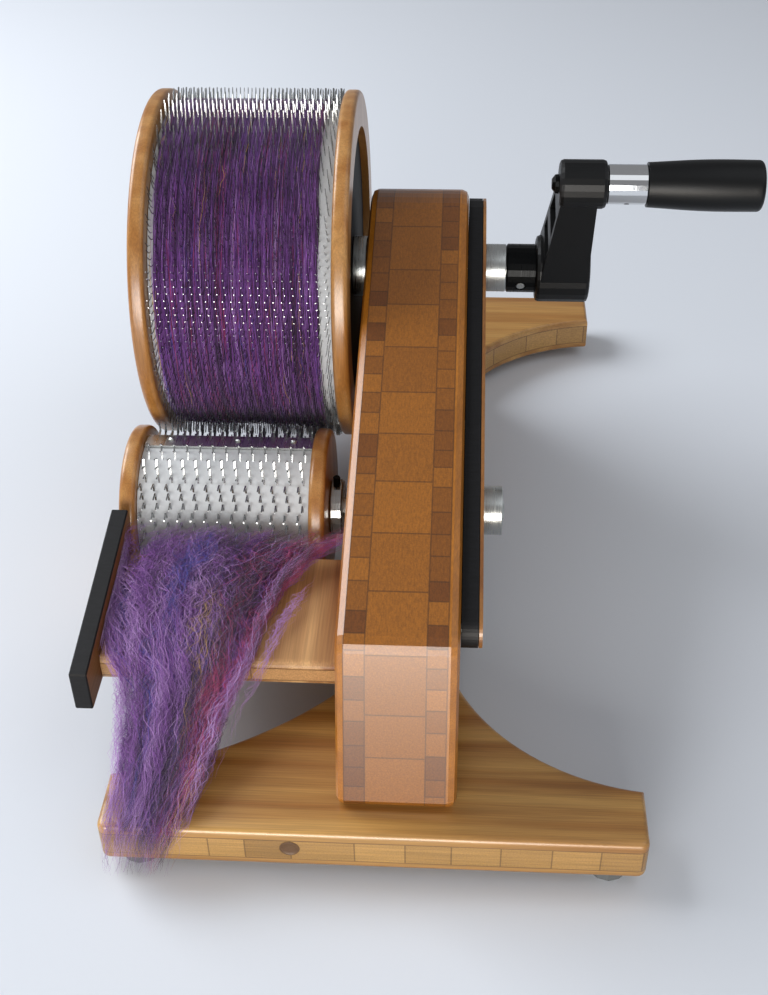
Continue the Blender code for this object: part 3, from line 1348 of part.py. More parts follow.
def make_grip(grip_axle):
    """Grip that turns freely on its spindle, with a blind bore."""
    bore = SPINDLE_RADIUS + RUNNING_GAP
    bore_end = GRIP_RIGHT - GRIP_END_WALL
    outside = [(GRIP_LEFT + GRIP_LENGTH * along, GRIP_RADIUS * out) for along, out in GRIP_PROFILE_SHARES]
    end_radius = outside[-1][1]
    corner = arc(
        Vector((GRIP_RIGHT - GRIP_END_FILLET, end_radius - GRIP_END_FILLET)),
        GRIP_END_FILLET,
        math.pi / 2,
        0,
        FILLET_STEPS,
    )
    profile = [
        (bore_end, 0),
        (bore_end, bore),
        (GRIP_LEFT, bore),
        *outside,
        *[tuple(point) for point in corner],
        (GRIP_RIGHT, 0),
    ]
    add_piece("grip_handle", turned_mesh("grip_handle", profile, MEDIUM_SIDES), "grip_plastic", grip_axle, True)


def fibre_stations():
    """Lower and upper (y, z) points of the fibre mat, from the licker-in over the tray to its toe."""
    rear = TRAY_REAR - FIBRE_REAR_SETBACK
    ledge = TRAY_TOP + SEAT_GAP
    lower = [Vector((rear + (TRAY_FRONT - rear) * share, ledge)) for share in FIBRE_TRAY_RUN_SHARES]
    brow = Vector((TRAY_FRONT - SEAT_GAP - TRAY_EDGE_RADIUS, ledge))
    hanging = Vector((TRAY_FRONT - FIBRE_FALL, TRAY_BOTTOM))
    toe = Vector((BASE_FRONT + FIBRE_TOE_SETBACK, BASE_TOP + SEAT_GAP + BASE_EDGE_RADIUS))
    for share in FIBRE_FALL_SHARES:
        lower.append(brow.lerp(hanging, share).lerp(hanging.lerp(toe, share), share))
    upper = []
    for index, (point, depth) in enumerate(zip(lower, FIBRE_DEPTH_SHARES)):
        before = lower[max(index - 1, 0)]
        after = lower[min(index + 1, len(lower) - 1)]
        way = (after - before).normalized()
        upper.append(point + Vector((way.y, -way.x)) * (FIBRE_DEPTH * depth))
    return lower, upper


def make_fibre(bench):
    """Loose fibre that lies on the tray and falls over its front edge, as one soft solid."""
    lower, upper = fibre_stations()
    rings = []
    for low, high, (left_share, right_share) in zip(lower, upper, FIBRE_SIDE_SHARES):
        left = TRAY_LEFT + TRAY_WIDTH * left_share
        right = TRAY_LEFT + TRAY_WIDTH * right_share
        edge = (right - left) * FIBRE_EDGE_SHARE
        middle = (low + high) / 2
        rings.append(
            [
                Vector((left, middle.x, middle.y)),
                Vector((left + edge, high.x, high.y)),
                Vector((right - edge, high.x, high.y)),
                Vector((right, middle.x, middle.y)),
                Vector((right - edge, low.x, low.y)),
                Vector((left + edge, low.x, low.y)),
            ]
        )
    add_piece("feed_fibre", loft_mesh("feed_fibre", rings), "dyed_wool", bench, True)


def main():
    """Build the whole machine."""
    clear_scene()
    bench = empty("bench_frame", None, (BENCH_SHIFT, 0, 0))
    drum_axle = empty("drum_axis", bench, (0, DRUM_AXIS.x, DRUM_AXIS.y))
    licker_axle = empty("licker_axis", bench, (0, LICKER_AXIS.x, LICKER_AXIS.y))
    crank = empty("crank_axis", drum_axle, (0, 0, 0), CRANK_REST_ANGLE)
    grip_axle = empty("grip_axis", crank, (0, 0, CRANK_RADIUS))
    plate = make_base(bench)
    upright = make_upright(bench, plate)
    make_belt_drive(bench, drum_axle, licker_axle, upright)
    make_tray(bench, upright)
    make_fibre(bench)
    make_drum(drum_axle)
    make_licker(licker_axle)
    make_outer_collars(drum_axle, licker_axle)
    make_crank(crank)
    make_grip(grip_axle)


if __name__ == "__main__":
    main()
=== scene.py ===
"""Looks of a hand-cranked drum carder, dressed round its packed construction.

Lengths are metres in the frame of the construction: X runs along the shafts towards the crank,
Y from the infeed tray to the back, and Z up from the table.
"""

import json
import logging
import math
from collections.abc import Callable, Sequence
from dataclasses import dataclass
from enum import Enum

import bpy
import numpy as np
from mathutils import Matrix, Vector


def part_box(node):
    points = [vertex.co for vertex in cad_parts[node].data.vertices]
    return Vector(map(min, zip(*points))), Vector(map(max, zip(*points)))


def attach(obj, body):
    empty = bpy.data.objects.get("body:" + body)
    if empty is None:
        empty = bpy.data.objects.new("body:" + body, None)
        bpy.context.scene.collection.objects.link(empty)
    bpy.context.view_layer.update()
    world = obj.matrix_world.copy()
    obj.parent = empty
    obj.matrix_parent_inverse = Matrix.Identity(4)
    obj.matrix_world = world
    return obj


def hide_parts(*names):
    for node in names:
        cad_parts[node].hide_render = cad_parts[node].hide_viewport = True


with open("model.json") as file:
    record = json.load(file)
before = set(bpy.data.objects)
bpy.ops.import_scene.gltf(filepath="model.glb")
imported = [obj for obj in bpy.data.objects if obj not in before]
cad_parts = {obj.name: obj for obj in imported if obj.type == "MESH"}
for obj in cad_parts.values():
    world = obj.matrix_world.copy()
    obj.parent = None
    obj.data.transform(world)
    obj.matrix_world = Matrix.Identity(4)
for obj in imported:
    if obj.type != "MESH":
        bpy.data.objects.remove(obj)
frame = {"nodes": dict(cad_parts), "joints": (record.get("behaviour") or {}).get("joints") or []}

log = logging.getLogger("drum_carder")
logging.basicConfig(level=logging.INFO, format="%(message)s")

SMOOTH_ANGLE = math.radians(38)
# Share of a normal along X from which a surface counts as a broad face
BROAD_FACE = 0.9
# Glue lines are finer than this, and are drawn wider so that they show
GLUE_LINE = 0.0003
GLUE_COLOUR = "#3c210b"
Socket = bpy.types.NodeSocket
Tree = bpy.types.NodeTree
Mesh = bpy.types.Mesh


class Body(Enum):
    """Bodies of the construction that pieces ride on."""

    FRAME = "frame"
    DRUM = "drum"
    LICKER = "licker"
    GRIP = "grip"


class Axis(Enum):
    """Axes of the frame, by their place in a coordinate."""

    X = 0
    Y = 1
    Z = 2


def linear(code: str) -> tuple[float, float, float, float]:
    """Turn an sRGB hex colour into linear red, green, blue and alpha.

    Args:
        code: Six hex digits, with or without a leading hash.

    Returns:
        The linear colour with an alpha of 1.
    """
    digits = code.lstrip("#")
    values = [int(digits[index : index + 2], 16) / 255 for index in (0, 2, 4)]
    red, green, blue = (v / 12.92 if v <= 0.04045 else ((v + 0.055) / 1.055) ** 2.4 for v in values)
    return (red, green, blue, 1.0)


def add_node(
    tree: Tree,
    kind: str,
    *operands: Socket | float | tuple,
    output: str = "",
    **settings: Socket | float | str | Sequence,
) -> Socket:
    """Add one shader node with its settings and links.

    Args:
        tree: Node tree that gets the node.
        kind: Blender's name of the node type, without its first word.
        operands: Sockets or values for the inputs in use, in their order.
        output: Name of the wanted output, or nothing for the first in use.
        settings: Attributes by their name, and inputs by their capitalised name.

    Returns:
        The output socket.
    """
    node = tree.nodes.new("ShaderNode" + kind)
    for name, value in settings.items():
        if name.islower():
            setattr(node, name, value)
    inputs = list(zip((socket for socket in node.inputs if socket.enabled), operands))
    inputs += [(node.inputs[name], value) for name, value in settings.items() if not name.islower()]
    for socket, value in inputs:
        if isinstance(value, Socket):
            tree.links.new(value, socket)
        else:
            socket.default_value = value
    return node.outputs[output] if output else next(socket for socket in node.outputs if socket.enabled)


def streaks(tree: Tree, width: float, length: float, along: Axis, detail: float = 3.0) -> Socket:
    """Noise drawn out along one axis, as wood fibres are.

    Args:
        tree: Node tree that gets the nodes.
        width: Width of a streak in metres.
        length: Length of a streak in metres.
        along: Axis that the streaks follow.
        detail: Octaves of the noise.

    Returns:
        The noise value, from 0 to 1.
    """
    scale = [1 / width] * len(Axis)
    scale[along.value] = 1 / length
    place = add_node(tree, "TexCoord", output="Object")
    place = add_node(tree, "Mapping", Vector=place, Scale=scale)
    return add_node(tree, "TexNoise", Vector=place, Scale=1.0, Detail=detail, Roughness=0.6)


def fade(tree: Tree, value: Socket, span: tuple[float, float], first: str, second: str) -> Socket:
    """Turn one colour into another while a value crosses a span.

    Args:
        tree: Node tree that gets the nodes.
        value: Value that drives the change.
        span: Value where the first colour ends and value where the second is reached.
        first: Colour below the span, as sRGB hex.
        second: Colour above the span, as sRGB hex.

    Returns:
        The colour.
    """
    share = add_node(tree, "MapRange", value, *span, 0.0, 1.0)
    return add_node(tree, "Mix", share, linear(first), linear(second), data_type="RGBA")


def emboss(tree: Tree, shader: bpy.types.Node, height: Socket, depth: float, strength: float) -> None:
    """Raise the surface by a height.

    Args:
        tree: Node tree of the material.
        shader: Its Principled shader.
        height: Height from 0 to 1.
        depth: Height in metres of a full step.
        strength: Share of the relief that shows.
    """
    bump = add_node(tree, "Bump", Strength=strength, Distance=depth, Height=height)
    tree.links.new(bump, shader.inputs["Normal"])


@dataclass(frozen=True)
class Finish:
    """A surface: its name, its main colour and how it takes the light."""

    name: str
    colour: str
    roughness: float
    metallic: float = 0.0
    specular: float = 0.5

    def make(self) -> bpy.types.Material:
        """Return the finish's material, made once.

        Returns:
            The material, with its nodes.
        """
        known = bpy.data.materials.get(self.name)
        if known:
            return known
        material = bpy.data.materials.new(self.name)
        material.use_nodes = True
        tree = material.node_tree
        shader = tree.nodes["Principled BSDF"]
        shader.inputs["Base Color"].default_value = linear(self.colour)
        shader.inputs["Roughness"].default_value = self.roughness
        shader.inputs["Metallic"].default_value = self.metallic
        shader.inputs["Specular IOR Level"].default_value = self.specular
        self.dress(tree, shader)
        return material

    def dress(self, tree: Tree, shader: bpy.types.Node) -> None:
        """Add what the finish has beyond plain values."""


@dataclass(frozen=True)
class LacqueredBamboo(Finish):
    """Board of bamboo strips glued up in plies, planed, oiled and lacquered.

    The strips differ in tone, their cut ends show as blocks, and the lacquer gives a soft gloss.
    Streaks and fibres are given as (width, length) in metres, and the blocks' tones as (range,
    darkest).
    """

    ply_axis: Axis = Axis.Z
    ply_edges: tuple[float, ...] = ()
    core_layer: int = -1
    block_way: tuple[float, float, float] = (1.0, 0.0, 0.0)
    core_block: float = 0.020
    strip_block: float = 0.0115
    grain: Axis = Axis.X
    dark: str = "#7a4c1c"
    light: str = "#c8954f"
    contrast: float = 1.0
    streak: tuple[float, float] = (0.009, 0.25)
    fibre: tuple[float, float] = (0.0007, 0.040)
    fibre_depth: float = 0.0002
    strip_tones: tuple[float, float] = (0.55, 0.12)
    core_tones: tuple[float, float] = (0.17, 0.46)
    vessel: float = 1 / 1400
    glue_share: float = 0.55
    lacquer: float = 0.4
    lacquer_roughness: float = 0.24

    def dress(self, tree: Tree, shader: bpy.types.Node) -> None:
        """Draw plies, strip ends and grain, then lay the lacquer over them.

        Args:
            tree: Node tree of the material.
            shader: Its Principled shader.
        """
        broad = streaks(tree, *self.streak, self.grain, 1.0)
        colour = fade(tree, broad, (0.34, 0.66), self.colour, self.light)
        if self.ply_edges:
            colour = self.with_blocks(tree, colour)
        grain = streaks(tree, *self.fibre, self.grain)
        shade = add_node(tree, "MapRange", grain, 0.30, 0.70, 0.74, 1.10)
        colour = add_node(tree, "VectorMath", colour, shade, operation="SCALE")
        tree.links.new(colour, shader.inputs["Base Color"])
        shader.inputs["Coat Weight"].default_value = self.lacquer
        shader.inputs["Coat Roughness"].default_value = self.lacquer_roughness
        emboss(tree, shader, grain, self.fibre_depth, 0.25)

    def with_blocks(self, tree: Tree, face: Socket) -> Socket:
        """Put the cut ends of strips into the inner plies, with glue lines round them.

        Args:
            tree: Node tree of the material.
            face: Colour of the face plies.

        Returns:
            The colour of all plies.
        """
        place = add_node(tree, "TexCoord", output="Object")
        across = add_node(tree, "SeparateXYZ", place, output=self.ply_axis.name)
        layer: Socket | float = 0.0
        for edge in self.ply_edges:
            above = add_node(tree, "Math", across, edge, operation="GREATER_THAN")
            layer = add_node(tree, "Math", layer, above, operation="ADD")
        run = add_node(tree, "VectorMath", place, self.block_way, operation="DOT_PRODUCT")
        is_core = add_node(tree, "Math", layer, float(self.core_layer), 0.5, operation="COMPARE")
        is_strip = add_node(tree, "Math", 1.0, is_core, operation="SUBTRACT")
        tone: Socket | float = 0.0
        joints: Socket | float = 0.0
        for length, chosen, contrast, (spread, darkest) in (
            (self.strip_block, is_strip, 1.0, self.strip_tones),
            (self.core_block, is_core, self.contrast, self.core_tones),
        ):
            # The odd number sets the blocks of one ply off from those of the next
            count = add_node(tree, "Math", run, length, operation="DIVIDE")
            count = add_node(tree, "Math", layer, 7.31, count, operation="MULTIPLY_ADD")
            cells = {"voronoi_dimensions": "1D", "W": count, "Scale": 1.0, "Randomness": 0.6}
            cell = add_node(tree, "TexVoronoi", output="Color", **cells)
            block = add_node(tree, "SeparateColor", cell)
            block = add_node(tree, "Math", block, spread * contrast, darkest, operation="MULTIPLY_ADD")
            tone = add_node(tree, "Math", block, chosen, tone, operation="MULTIPLY_ADD")
            gap = add_node(tree, "TexVoronoi", output="Distance", feature="DISTANCE_TO_EDGE", **cells)
            joint = add_node(tree, "Math", gap, GLUE_LINE / length, operation="LESS_THAN")
            joints = add_node(tree, "Math", joint, chosen, joints, operation="MULTIPLY_ADD")
        # Vessels in the cut ends are finer than this, and are drawn coarser so that they show
        vessels = add_node(tree, "TexNoise", Vector=place, Scale=1 / self.vessel, Detail=2.0)
        shade = add_node(tree, "MapRange", vessels, 0.3, 0.7, 0.84, 1.08)
        blocks = fade(tree, tone, (0.05, 0.95), self.dark, self.light)
        blocks = add_node(tree, "VectorMath", blocks, shade, operation="SCALE")
        first = add_node(tree, "Math", layer, 0.0, 0.5, operation="COMPARE")
        last = add_node(tree, "Math", layer, float(len(self.ply_edges)), 0.5, operation="COMPARE")
        is_face = add_node(tree, "Math", first, last, operation="ADD")
        is_inner = add_node(tree, "Math", 1.0, is_face, operation="SUBTRACT")
        joints = add_node(tree, "Math", joints, is_inner, operation="MULTIPLY")
        for edge in self.ply_edges:
            offset = add_node(tree, "Math", across, edge, operation="SUBTRACT")
            offset = add_node(tree, "Math", offset, operation="ABSOLUTE")
            seam = add_node(tree, "Math", offset, GLUE_LINE, operation="LESS_THAN")
            joints = add_node(tree, "Math", joints, seam, operation="MAXIMUM")
        plies = add_node(tree, "Mix", is_face, blocks, face, data_type="RGBA")
        glue = add_node(tree, "Math", joints, self.glue_share, operation="MULTIPLY")
        return add_node(tree, "Mix", glue, plies, linear(GLUE_COLOUR), data_type="RGBA")


@dataclass(frozen=True)
class CharredBoard(Finish):
    """Board cut by a hot beam: black sooty edges round faces of bare bamboo.

    Burns and fibres are given as (width, length) in metres.
    """

    soot: str = "#101013"
    face: str = "#8a5a2c"
    face_grain: str = "#5e3614"
    burn: tuple[float, float] = (0.0012, 0.006)
    burn_depth: float = 0.0003
    fibre: tuple[float, float] = (0.0012, 0.05)

    def dress(self, tree: Tree, shader: bpy.types.Node) -> None:
        """Blacken every surface but the two broad faces.

        Args:
            tree: Node tree of the material.
            shader: Its Principled shader.
        """
        normal = add_node(tree, "NewGeometry", output="Normal")
        along = add_node(tree, "SeparateXYZ", normal, output="X")
        along = add_node(tree, "Math", along, operation="ABSOLUTE")
        is_face = add_node(tree, "Math", along, BROAD_FACE, operation="GREATER_THAN")
        burnt = streaks(tree, *self.burn, Axis.X)
        edge = fade(tree, burnt, (0.3, 0.75), self.colour, self.soot)
        bare = fade(tree, streaks(tree, *self.fibre, Axis.Y), (0.0, 1.0), self.face_grain, self.face)
        colour = add_node(tree, "Mix", is_face, edge, bare, data_type="RGBA")
        tree.links.new(colour, shader.inputs["Base Color"])
        emboss(tree, shader, burnt, self.burn_depth, 0.4)


@dataclass(frozen=True)
class TurnedMetal(Finish):
    """Metal turned on a lathe: fine rings round the axis break up the highlight."""

    groove: float = 0.0007
    depth: float = 0.00003

    def dress(self, tree: Tree, shader: bpy.types.Node) -> None:
        """Cut the tool's rings. They are drawn coarser than real ones, so that they show.

        Args:
            tree: Node tree of the material.
            shader: Its Principled shader.
        """
        rings = streaks(tree, 0.02, self.groove, Axis.X, 2.0)
        spread = add_node(tree, "MapRange", rings, 0.3, 0.7, self.roughness * 0.75, self.roughness * 1.3)
        tree.links.new(spread, shader.inputs["Roughness"])
        emboss(tree, shader, rings, self.depth, 0.5)


@dataclass(frozen=True)
class GrainedSurface(Finish):
    """Moulded or cast surface with a fine even grain, as plastic, rubber and felted board have."""

    grain: float = 0.0006
    depth: float = 0.00006
    second: str = ""

    def dress(self, tree: Tree, shader: bpy.types.Node) -> None:
        """Raise the grain, and vary the tone if a second colour is given.

        Args:
            tree: Node tree of the material.
            shader: Its Principled shader.
        """
        place = add_node(tree, "TexCoord", output="Object")
        noise = add_node(tree, "TexNoise", Vector=place, Scale=1 / self.grain, Detail=3.0)
        emboss(tree, shader, noise, self.depth, 0.6)
        tone = fade(tree, noise, (0.0, 1.0), self.colour, self.second or self.colour)
        tree.links.new(tone, shader.inputs["Base Color"])


@dataclass(frozen=True)
class DyedWool(Finish):
    """Combed wool dyed in the lock: matt, soft at the edges, and uneven in tone along each lock."""

    second: str = "#5a3a86"
    lock: float = 0.012
    dye_span: tuple[float, float] = (0.35, 0.65)
    sheen: float = 0.4

    def dress(self, tree: Tree, shader: bpy.types.Node) -> None:
        """Vary the dye from lock to lock and give the fibres their soft edge light.

        Args:
            tree: Node tree of the material.
            shader: Its Principled shader.
        """
        place = add_node(tree, "TexCoord", output="Object")
        noise = add_node(tree, "TexNoise", Vector=place, Scale=1 / self.lock, Detail=2.0)
        tone = fade(tree, noise, self.dye_span, self.colour, self.second)
        tree.links.new(tone, shader.inputs["Base Color"])
        shader.inputs["Sheen Weight"].default_value = self.sheen


# Caramel-brown bamboo, crossed plies: rows of small end-grain blocks beside a wide core
UPRIGHT_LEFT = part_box("upright")[0][0]
UPRIGHT_BOARD = LacqueredBamboo(
    "bamboo_crossply_board",
    "#a06010",
    0.36,
    ply_axis=Axis.X,
    ply_edges=tuple(UPRIGHT_LEFT + edge for edge in (0.0036, 0.0123, 0.0375, 0.0460)),
    core_layer=2,
    block_way=(0.0, 0.62, 0.78),
    core_block=0.0225,
    strip_block=0.0092,
    grain=Axis.Y,
    dark="#653508",
    light="#b06d1c",
)
# Paler bamboo with long streaks on top and a row of uneven blocks along its edge
BASE_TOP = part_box("base_plate")[1][2]
BASE_BOARD = LacqueredBamboo(
    "bamboo_three_ply_base",
    "#99652a",
    0.38,
    ply_axis=Axis.Z,
    ply_edges=(BASE_TOP - 0.0165, BASE_TOP - 0.0045),
    core_layer=1,
    core_block=0.021,
    grain=Axis.X,
    dark="#74501f",
    light="#c0924f",
    contrast=2.8,
)
# Reddish face ply over a pale core, which shows along the tray's front edge
TRAY_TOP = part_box("infeed_tray")[1][2]
TRAY_BOARD = LacqueredBamboo(
    "bamboo_tray_board",
    "#8a5729",
    0.36,
    ply_axis=Axis.Z,
    ply_edges=(TRAY_TOP - 0.0105, TRAY_TOP - 0.0035),
    core_layer=1,
    core_block=0.030,
    grain=Axis.Y,
    dark="#a87442",
    light="#d4a871",
)
# Honey-coloured discs with soft rounded rims that catch a long highlight
FLANGE_BOARD = LacqueredBamboo("bamboo_flange_ply", "#a46c30", 0.34, grain=Axis.Z, light="#bd8a4e")
# Thin darker board behind the crank
COVER_BOARD = LacqueredBamboo("bamboo_thin_cover", "#7d4c1e", 0.4, grain=Axis.Y, light="#a06c34")
# Matt black edges, streaked by the beam
SOOTY_EDGE = CharredBoard("laser_cut_bamboo", "#050506", 0.55, specular=0.25)
# Dull black, almost without gloss
BLACK_BOARD = GrainedSurface("black_fibreboard", "#070708", 0.7, specular=0.3)
# Cool grey steel with a broad broken highlight
ZINC_STEEL = TurnedMetal("zinc_plated_steel_turned", "#c9ccca", 0.30, 1.0)
# Mirror-like sleeve that shows the floor and the lamps
CHROME = TurnedMetal("chromed_steel_polished", "#e6e7e8", 0.07, 1.0, depth=0.000004)
# Black steel with a faint metallic sheen
BLACK_OXIDE = TurnedMetal("black_oxide_steel", "#101112", 0.34, 0.85)
# Black plastic with a fine moulded grain and soft highlights
NYLON = GrainedSurface("glass_filled_nylon_moulded", "#050607", 0.42, specular=0.3, grain=0.0009)
# Deeper black than the arm, with one long highlight along the top
GRIP_SKIN = GrainedSurface("phenolic_grip_moulded", "#030405", 0.40, specular=0.3, grain=0.0011)
# Bright wire whose points glint
WIRE = Finish("card_wire_drawn_steel", "#a9abab", 0.24, 1.0)
# Off-white backing, matt as rubber and faintly mottled
CLOTH = GrainedSurface("card_backing_rubber_faced", "#d4d6d6", 0.75, grain=0.0012, second="#c3c6c8")
# Grey rubber without gloss
FOOT_RUBBER = GrainedSurface("foot_rubber_moulded", "#5d5f5e", 0.8)
# Dull yellow bearing metal
BRONZE = TurnedMetal("sintered_bronze_bearing", "#8f6a34", 0.45, 1.0)
# Amber belt with a slight gloss
BELT = GrainedSurface("belt_polyurethane_extruded", "#a8842f", 0.45)
# Painted shade: a dark mottled disc that stands for the shade inside the hole in the base's front edge
HOLE_SHADE = GrainedSurface("painted_hole_shade", "#4a3018", 0.5, grain=0.0010, second="#6e4c2a")
# Pale dowels
BEECH = LacqueredBamboo("beech_dowel_turned", "#b98e5c", 0.6, grain=Axis.X, light="#cda873")


class WoolTone(Enum):
    """Dyes of the wool, each as a finish: violets, with magenta, blue and gold in single locks."""

    PLUM = DyedWool("wool_plum", "#2c1034", 0.9, second="#411b4e")
    VIOLET = DyedWool("wool_violet", "#6c3386", 0.9, second="#884ea2")
    LAVENDER = DyedWool("wool_lavender", "#a070b6", 0.9, second="#b890ca")
    MAGENTA = DyedWool("wool_magenta", "#841c50", 0.9, second="#b43470")
    BLUE = DyedWool("wool_blue", "#33308c", 0.9, second="#4a44a6")
    GOLD = DyedWool("wool_gold", "#a87a2c", 0.8, second="#c9a24a")


def show(
    name: str, mesh: Mesh, finish: Finish, body: Body, smooth: bool = True
) -> bpy.types.Object:
    """Put a mesh into the scene as a piece that rides on a body.

    Args:
        name: Name of the piece.
        mesh: Its mesh, in the frame.
        finish: Its finish.
        body: Body that it rides on.
        smooth: Whether round surfaces are shaded smooth.

    Returns:
        The new object.
    """
    piece = bpy.data.objects.new(name, mesh)
    bpy.context.scene.collection.objects.link(piece)
    mesh.materials.append(finish.make())
    if smooth:
        mesh.shade_smooth()
        mesh.set_sharp_from_angle(angle=SMOOTH_ANGLE)
    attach(piece, body.value)
    return piece


def dress_node(node: str, finish: Finish) -> None:
    """Give a solid of the construction its finish and smooth shading.

    Args:
        node: Name of the node.
        finish: Its finish.
    """
    mesh = frame["nodes"][node].data
    mesh.materials.clear()
    mesh.materials.append(finish.make())
    mesh.shade_smooth()
    mesh.set_sharp_from_angle(angle=SMOOTH_ANGLE)


def joint_place(name: str) -> Vector:
    """Place of a joint's axis in the frame."""
    return Vector(next(joint["pos_m"] for joint in frame["joints"] if joint["name"] == name))


def mesh_of(name: str, points: np.ndarray | Sequence, faces: list[list[int]]) -> Mesh:
    """Make a mesh.

    Args:
        name: Name of the mesh.
        points: Its points.
        faces: Its faces, as numbers of points.

    Returns:
        The mesh, checked for stray faces.
    """
    mesh = bpy.data.meshes.new(name)
    mesh.from_pydata(np.asarray(points).tolist(), [], faces)
    mesh.validate()
    return mesh


def band_faces(rings: int, sides: int, start: int = 0, looped: bool = False) -> list[list[int]]:
    """Join each ring of points to the next.

    Args:
        rings: Number of rings.
        sides: Number of points in a ring.
        start: Number of the first point.
        looped: Whether the last ring is joined to the first as well.

    Returns:
        Four-cornered faces.
    """
    faces = []
    for ring in range(rings if looped else rings - 1):
        near, far = start + ring * sides, start + (ring + 1) % rings * sides
        for step in range(sides):
            after = (step + 1) % sides
            faces.append([near + step, near + after, far + after, far + step])
    return faces


def turned_mesh(name: str, axis: Vector, outline: Sequence[tuple[float, float]], sides: int) -> Mesh:
    """Turn a closed outline about an axis along X.

    Args:
        name: Name of the mesh.
        axis: Any point of the axis.
        outline: Points as (along, radius).
        sides: Number of points in a ring.

    Returns:
        The mesh.
    """
    turns = np.linspace(0, math.tau, sides, endpoint=False)
    rings = [
        np.stack([np.full(sides, along), axis.y + r * np.cos(turns), axis.z + r * np.sin(turns)], 1)
        for along, r in outline
    ]
    return mesh_of(name, np.concatenate(rings), band_faces(len(outline), sides, looped=True))


@dataclass
class Turning:
    """A turned piece, finer than the facetted solid that it stands for."""

    name: str
    body: Body
    finish: Finish
    slot: str
    axis: Vector
    bore: float
    fillet: float = 0.0006
    sides: int = 128
    fillet_steps: int = 6

    def outline(self) -> list[tuple[float, float]]:
        """Closed outline of the ring, from the node's own box.

        Returns:
            Points as (along, radius).
        """
        low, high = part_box(self.name)
        rim = (high[1] - low[1]) / 2 - self.fillet
        corners = []
        for centre, start in ((low[0] + self.fillet, math.pi), (high[0] - self.fillet, math.pi / 2)):
            for step in range(self.fillet_steps + 1):
                turn = start - math.pi / 2 * step / self.fillet_steps
                corners.append((centre + self.fillet * math.cos(turn), rim + self.fillet * math.sin(turn)))
        return [(low[0], self.bore), *corners, (high[0], self.bore)]

    def build(self) -> None:
        """Turn the outline about the axis, and stand it in for the node."""
        mesh = turned_mesh(self.name, self.axis, self.outline(), self.sides)
        piece = show(f"{self.name}_turned", mesh, self.finish, self.body)
        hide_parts(self.name)


@dataclass
class TurnedGrip(Turning):
    """Grip that swells towards its closed end, with a blind bore.

    The swell is given as (share of the length, share of the widest radius).
    """

    swell_shares: tuple[tuple[float, float], ...] = (
        (0.0, 0.866),
        (0.05, 0.880),
        (0.22, 0.925),
        (0.42, 0.975),
        (0.62, 1.0),
        (0.85, 0.995),
        (1.0, 0.990),
    )
    end_wall: float = 0.006
    swell_steps: int = 26

    def outline(self) -> list[tuple[float, float]]:
        """Closed outline of the grip, with a smooth swell and a rounded end.

        Returns:
            Points as (along, radius).
        """
        low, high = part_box(self.name)
        radius, length = (high[1] - low[1]) / 2, high[0] - low[0]
        swell = np.polyfit(*zip(*self.swell_shares), 4)
        shares = np.linspace(0, (length - self.fillet) / length, self.swell_steps)
        outside = [(low[0] + length * share, radius * float(np.polyval(swell, share))) for share in shares]
        rim = outside[-1][1] - self.fillet
        for step in range(1, self.fillet_steps + 1):
            turn = math.pi / 2 * step / self.fillet_steps
            along = high[0] - self.fillet * (1 - math.sin(turn))
            outside.append((along, rim + self.fillet * math.cos(turn)))
        pinhole, floor = self.fillet / 50, high[0] - self.end_wall
        return [(low[0], self.bore), *outside, (high[0], pinhole), (floor, pinhole), (floor, self.bore)]


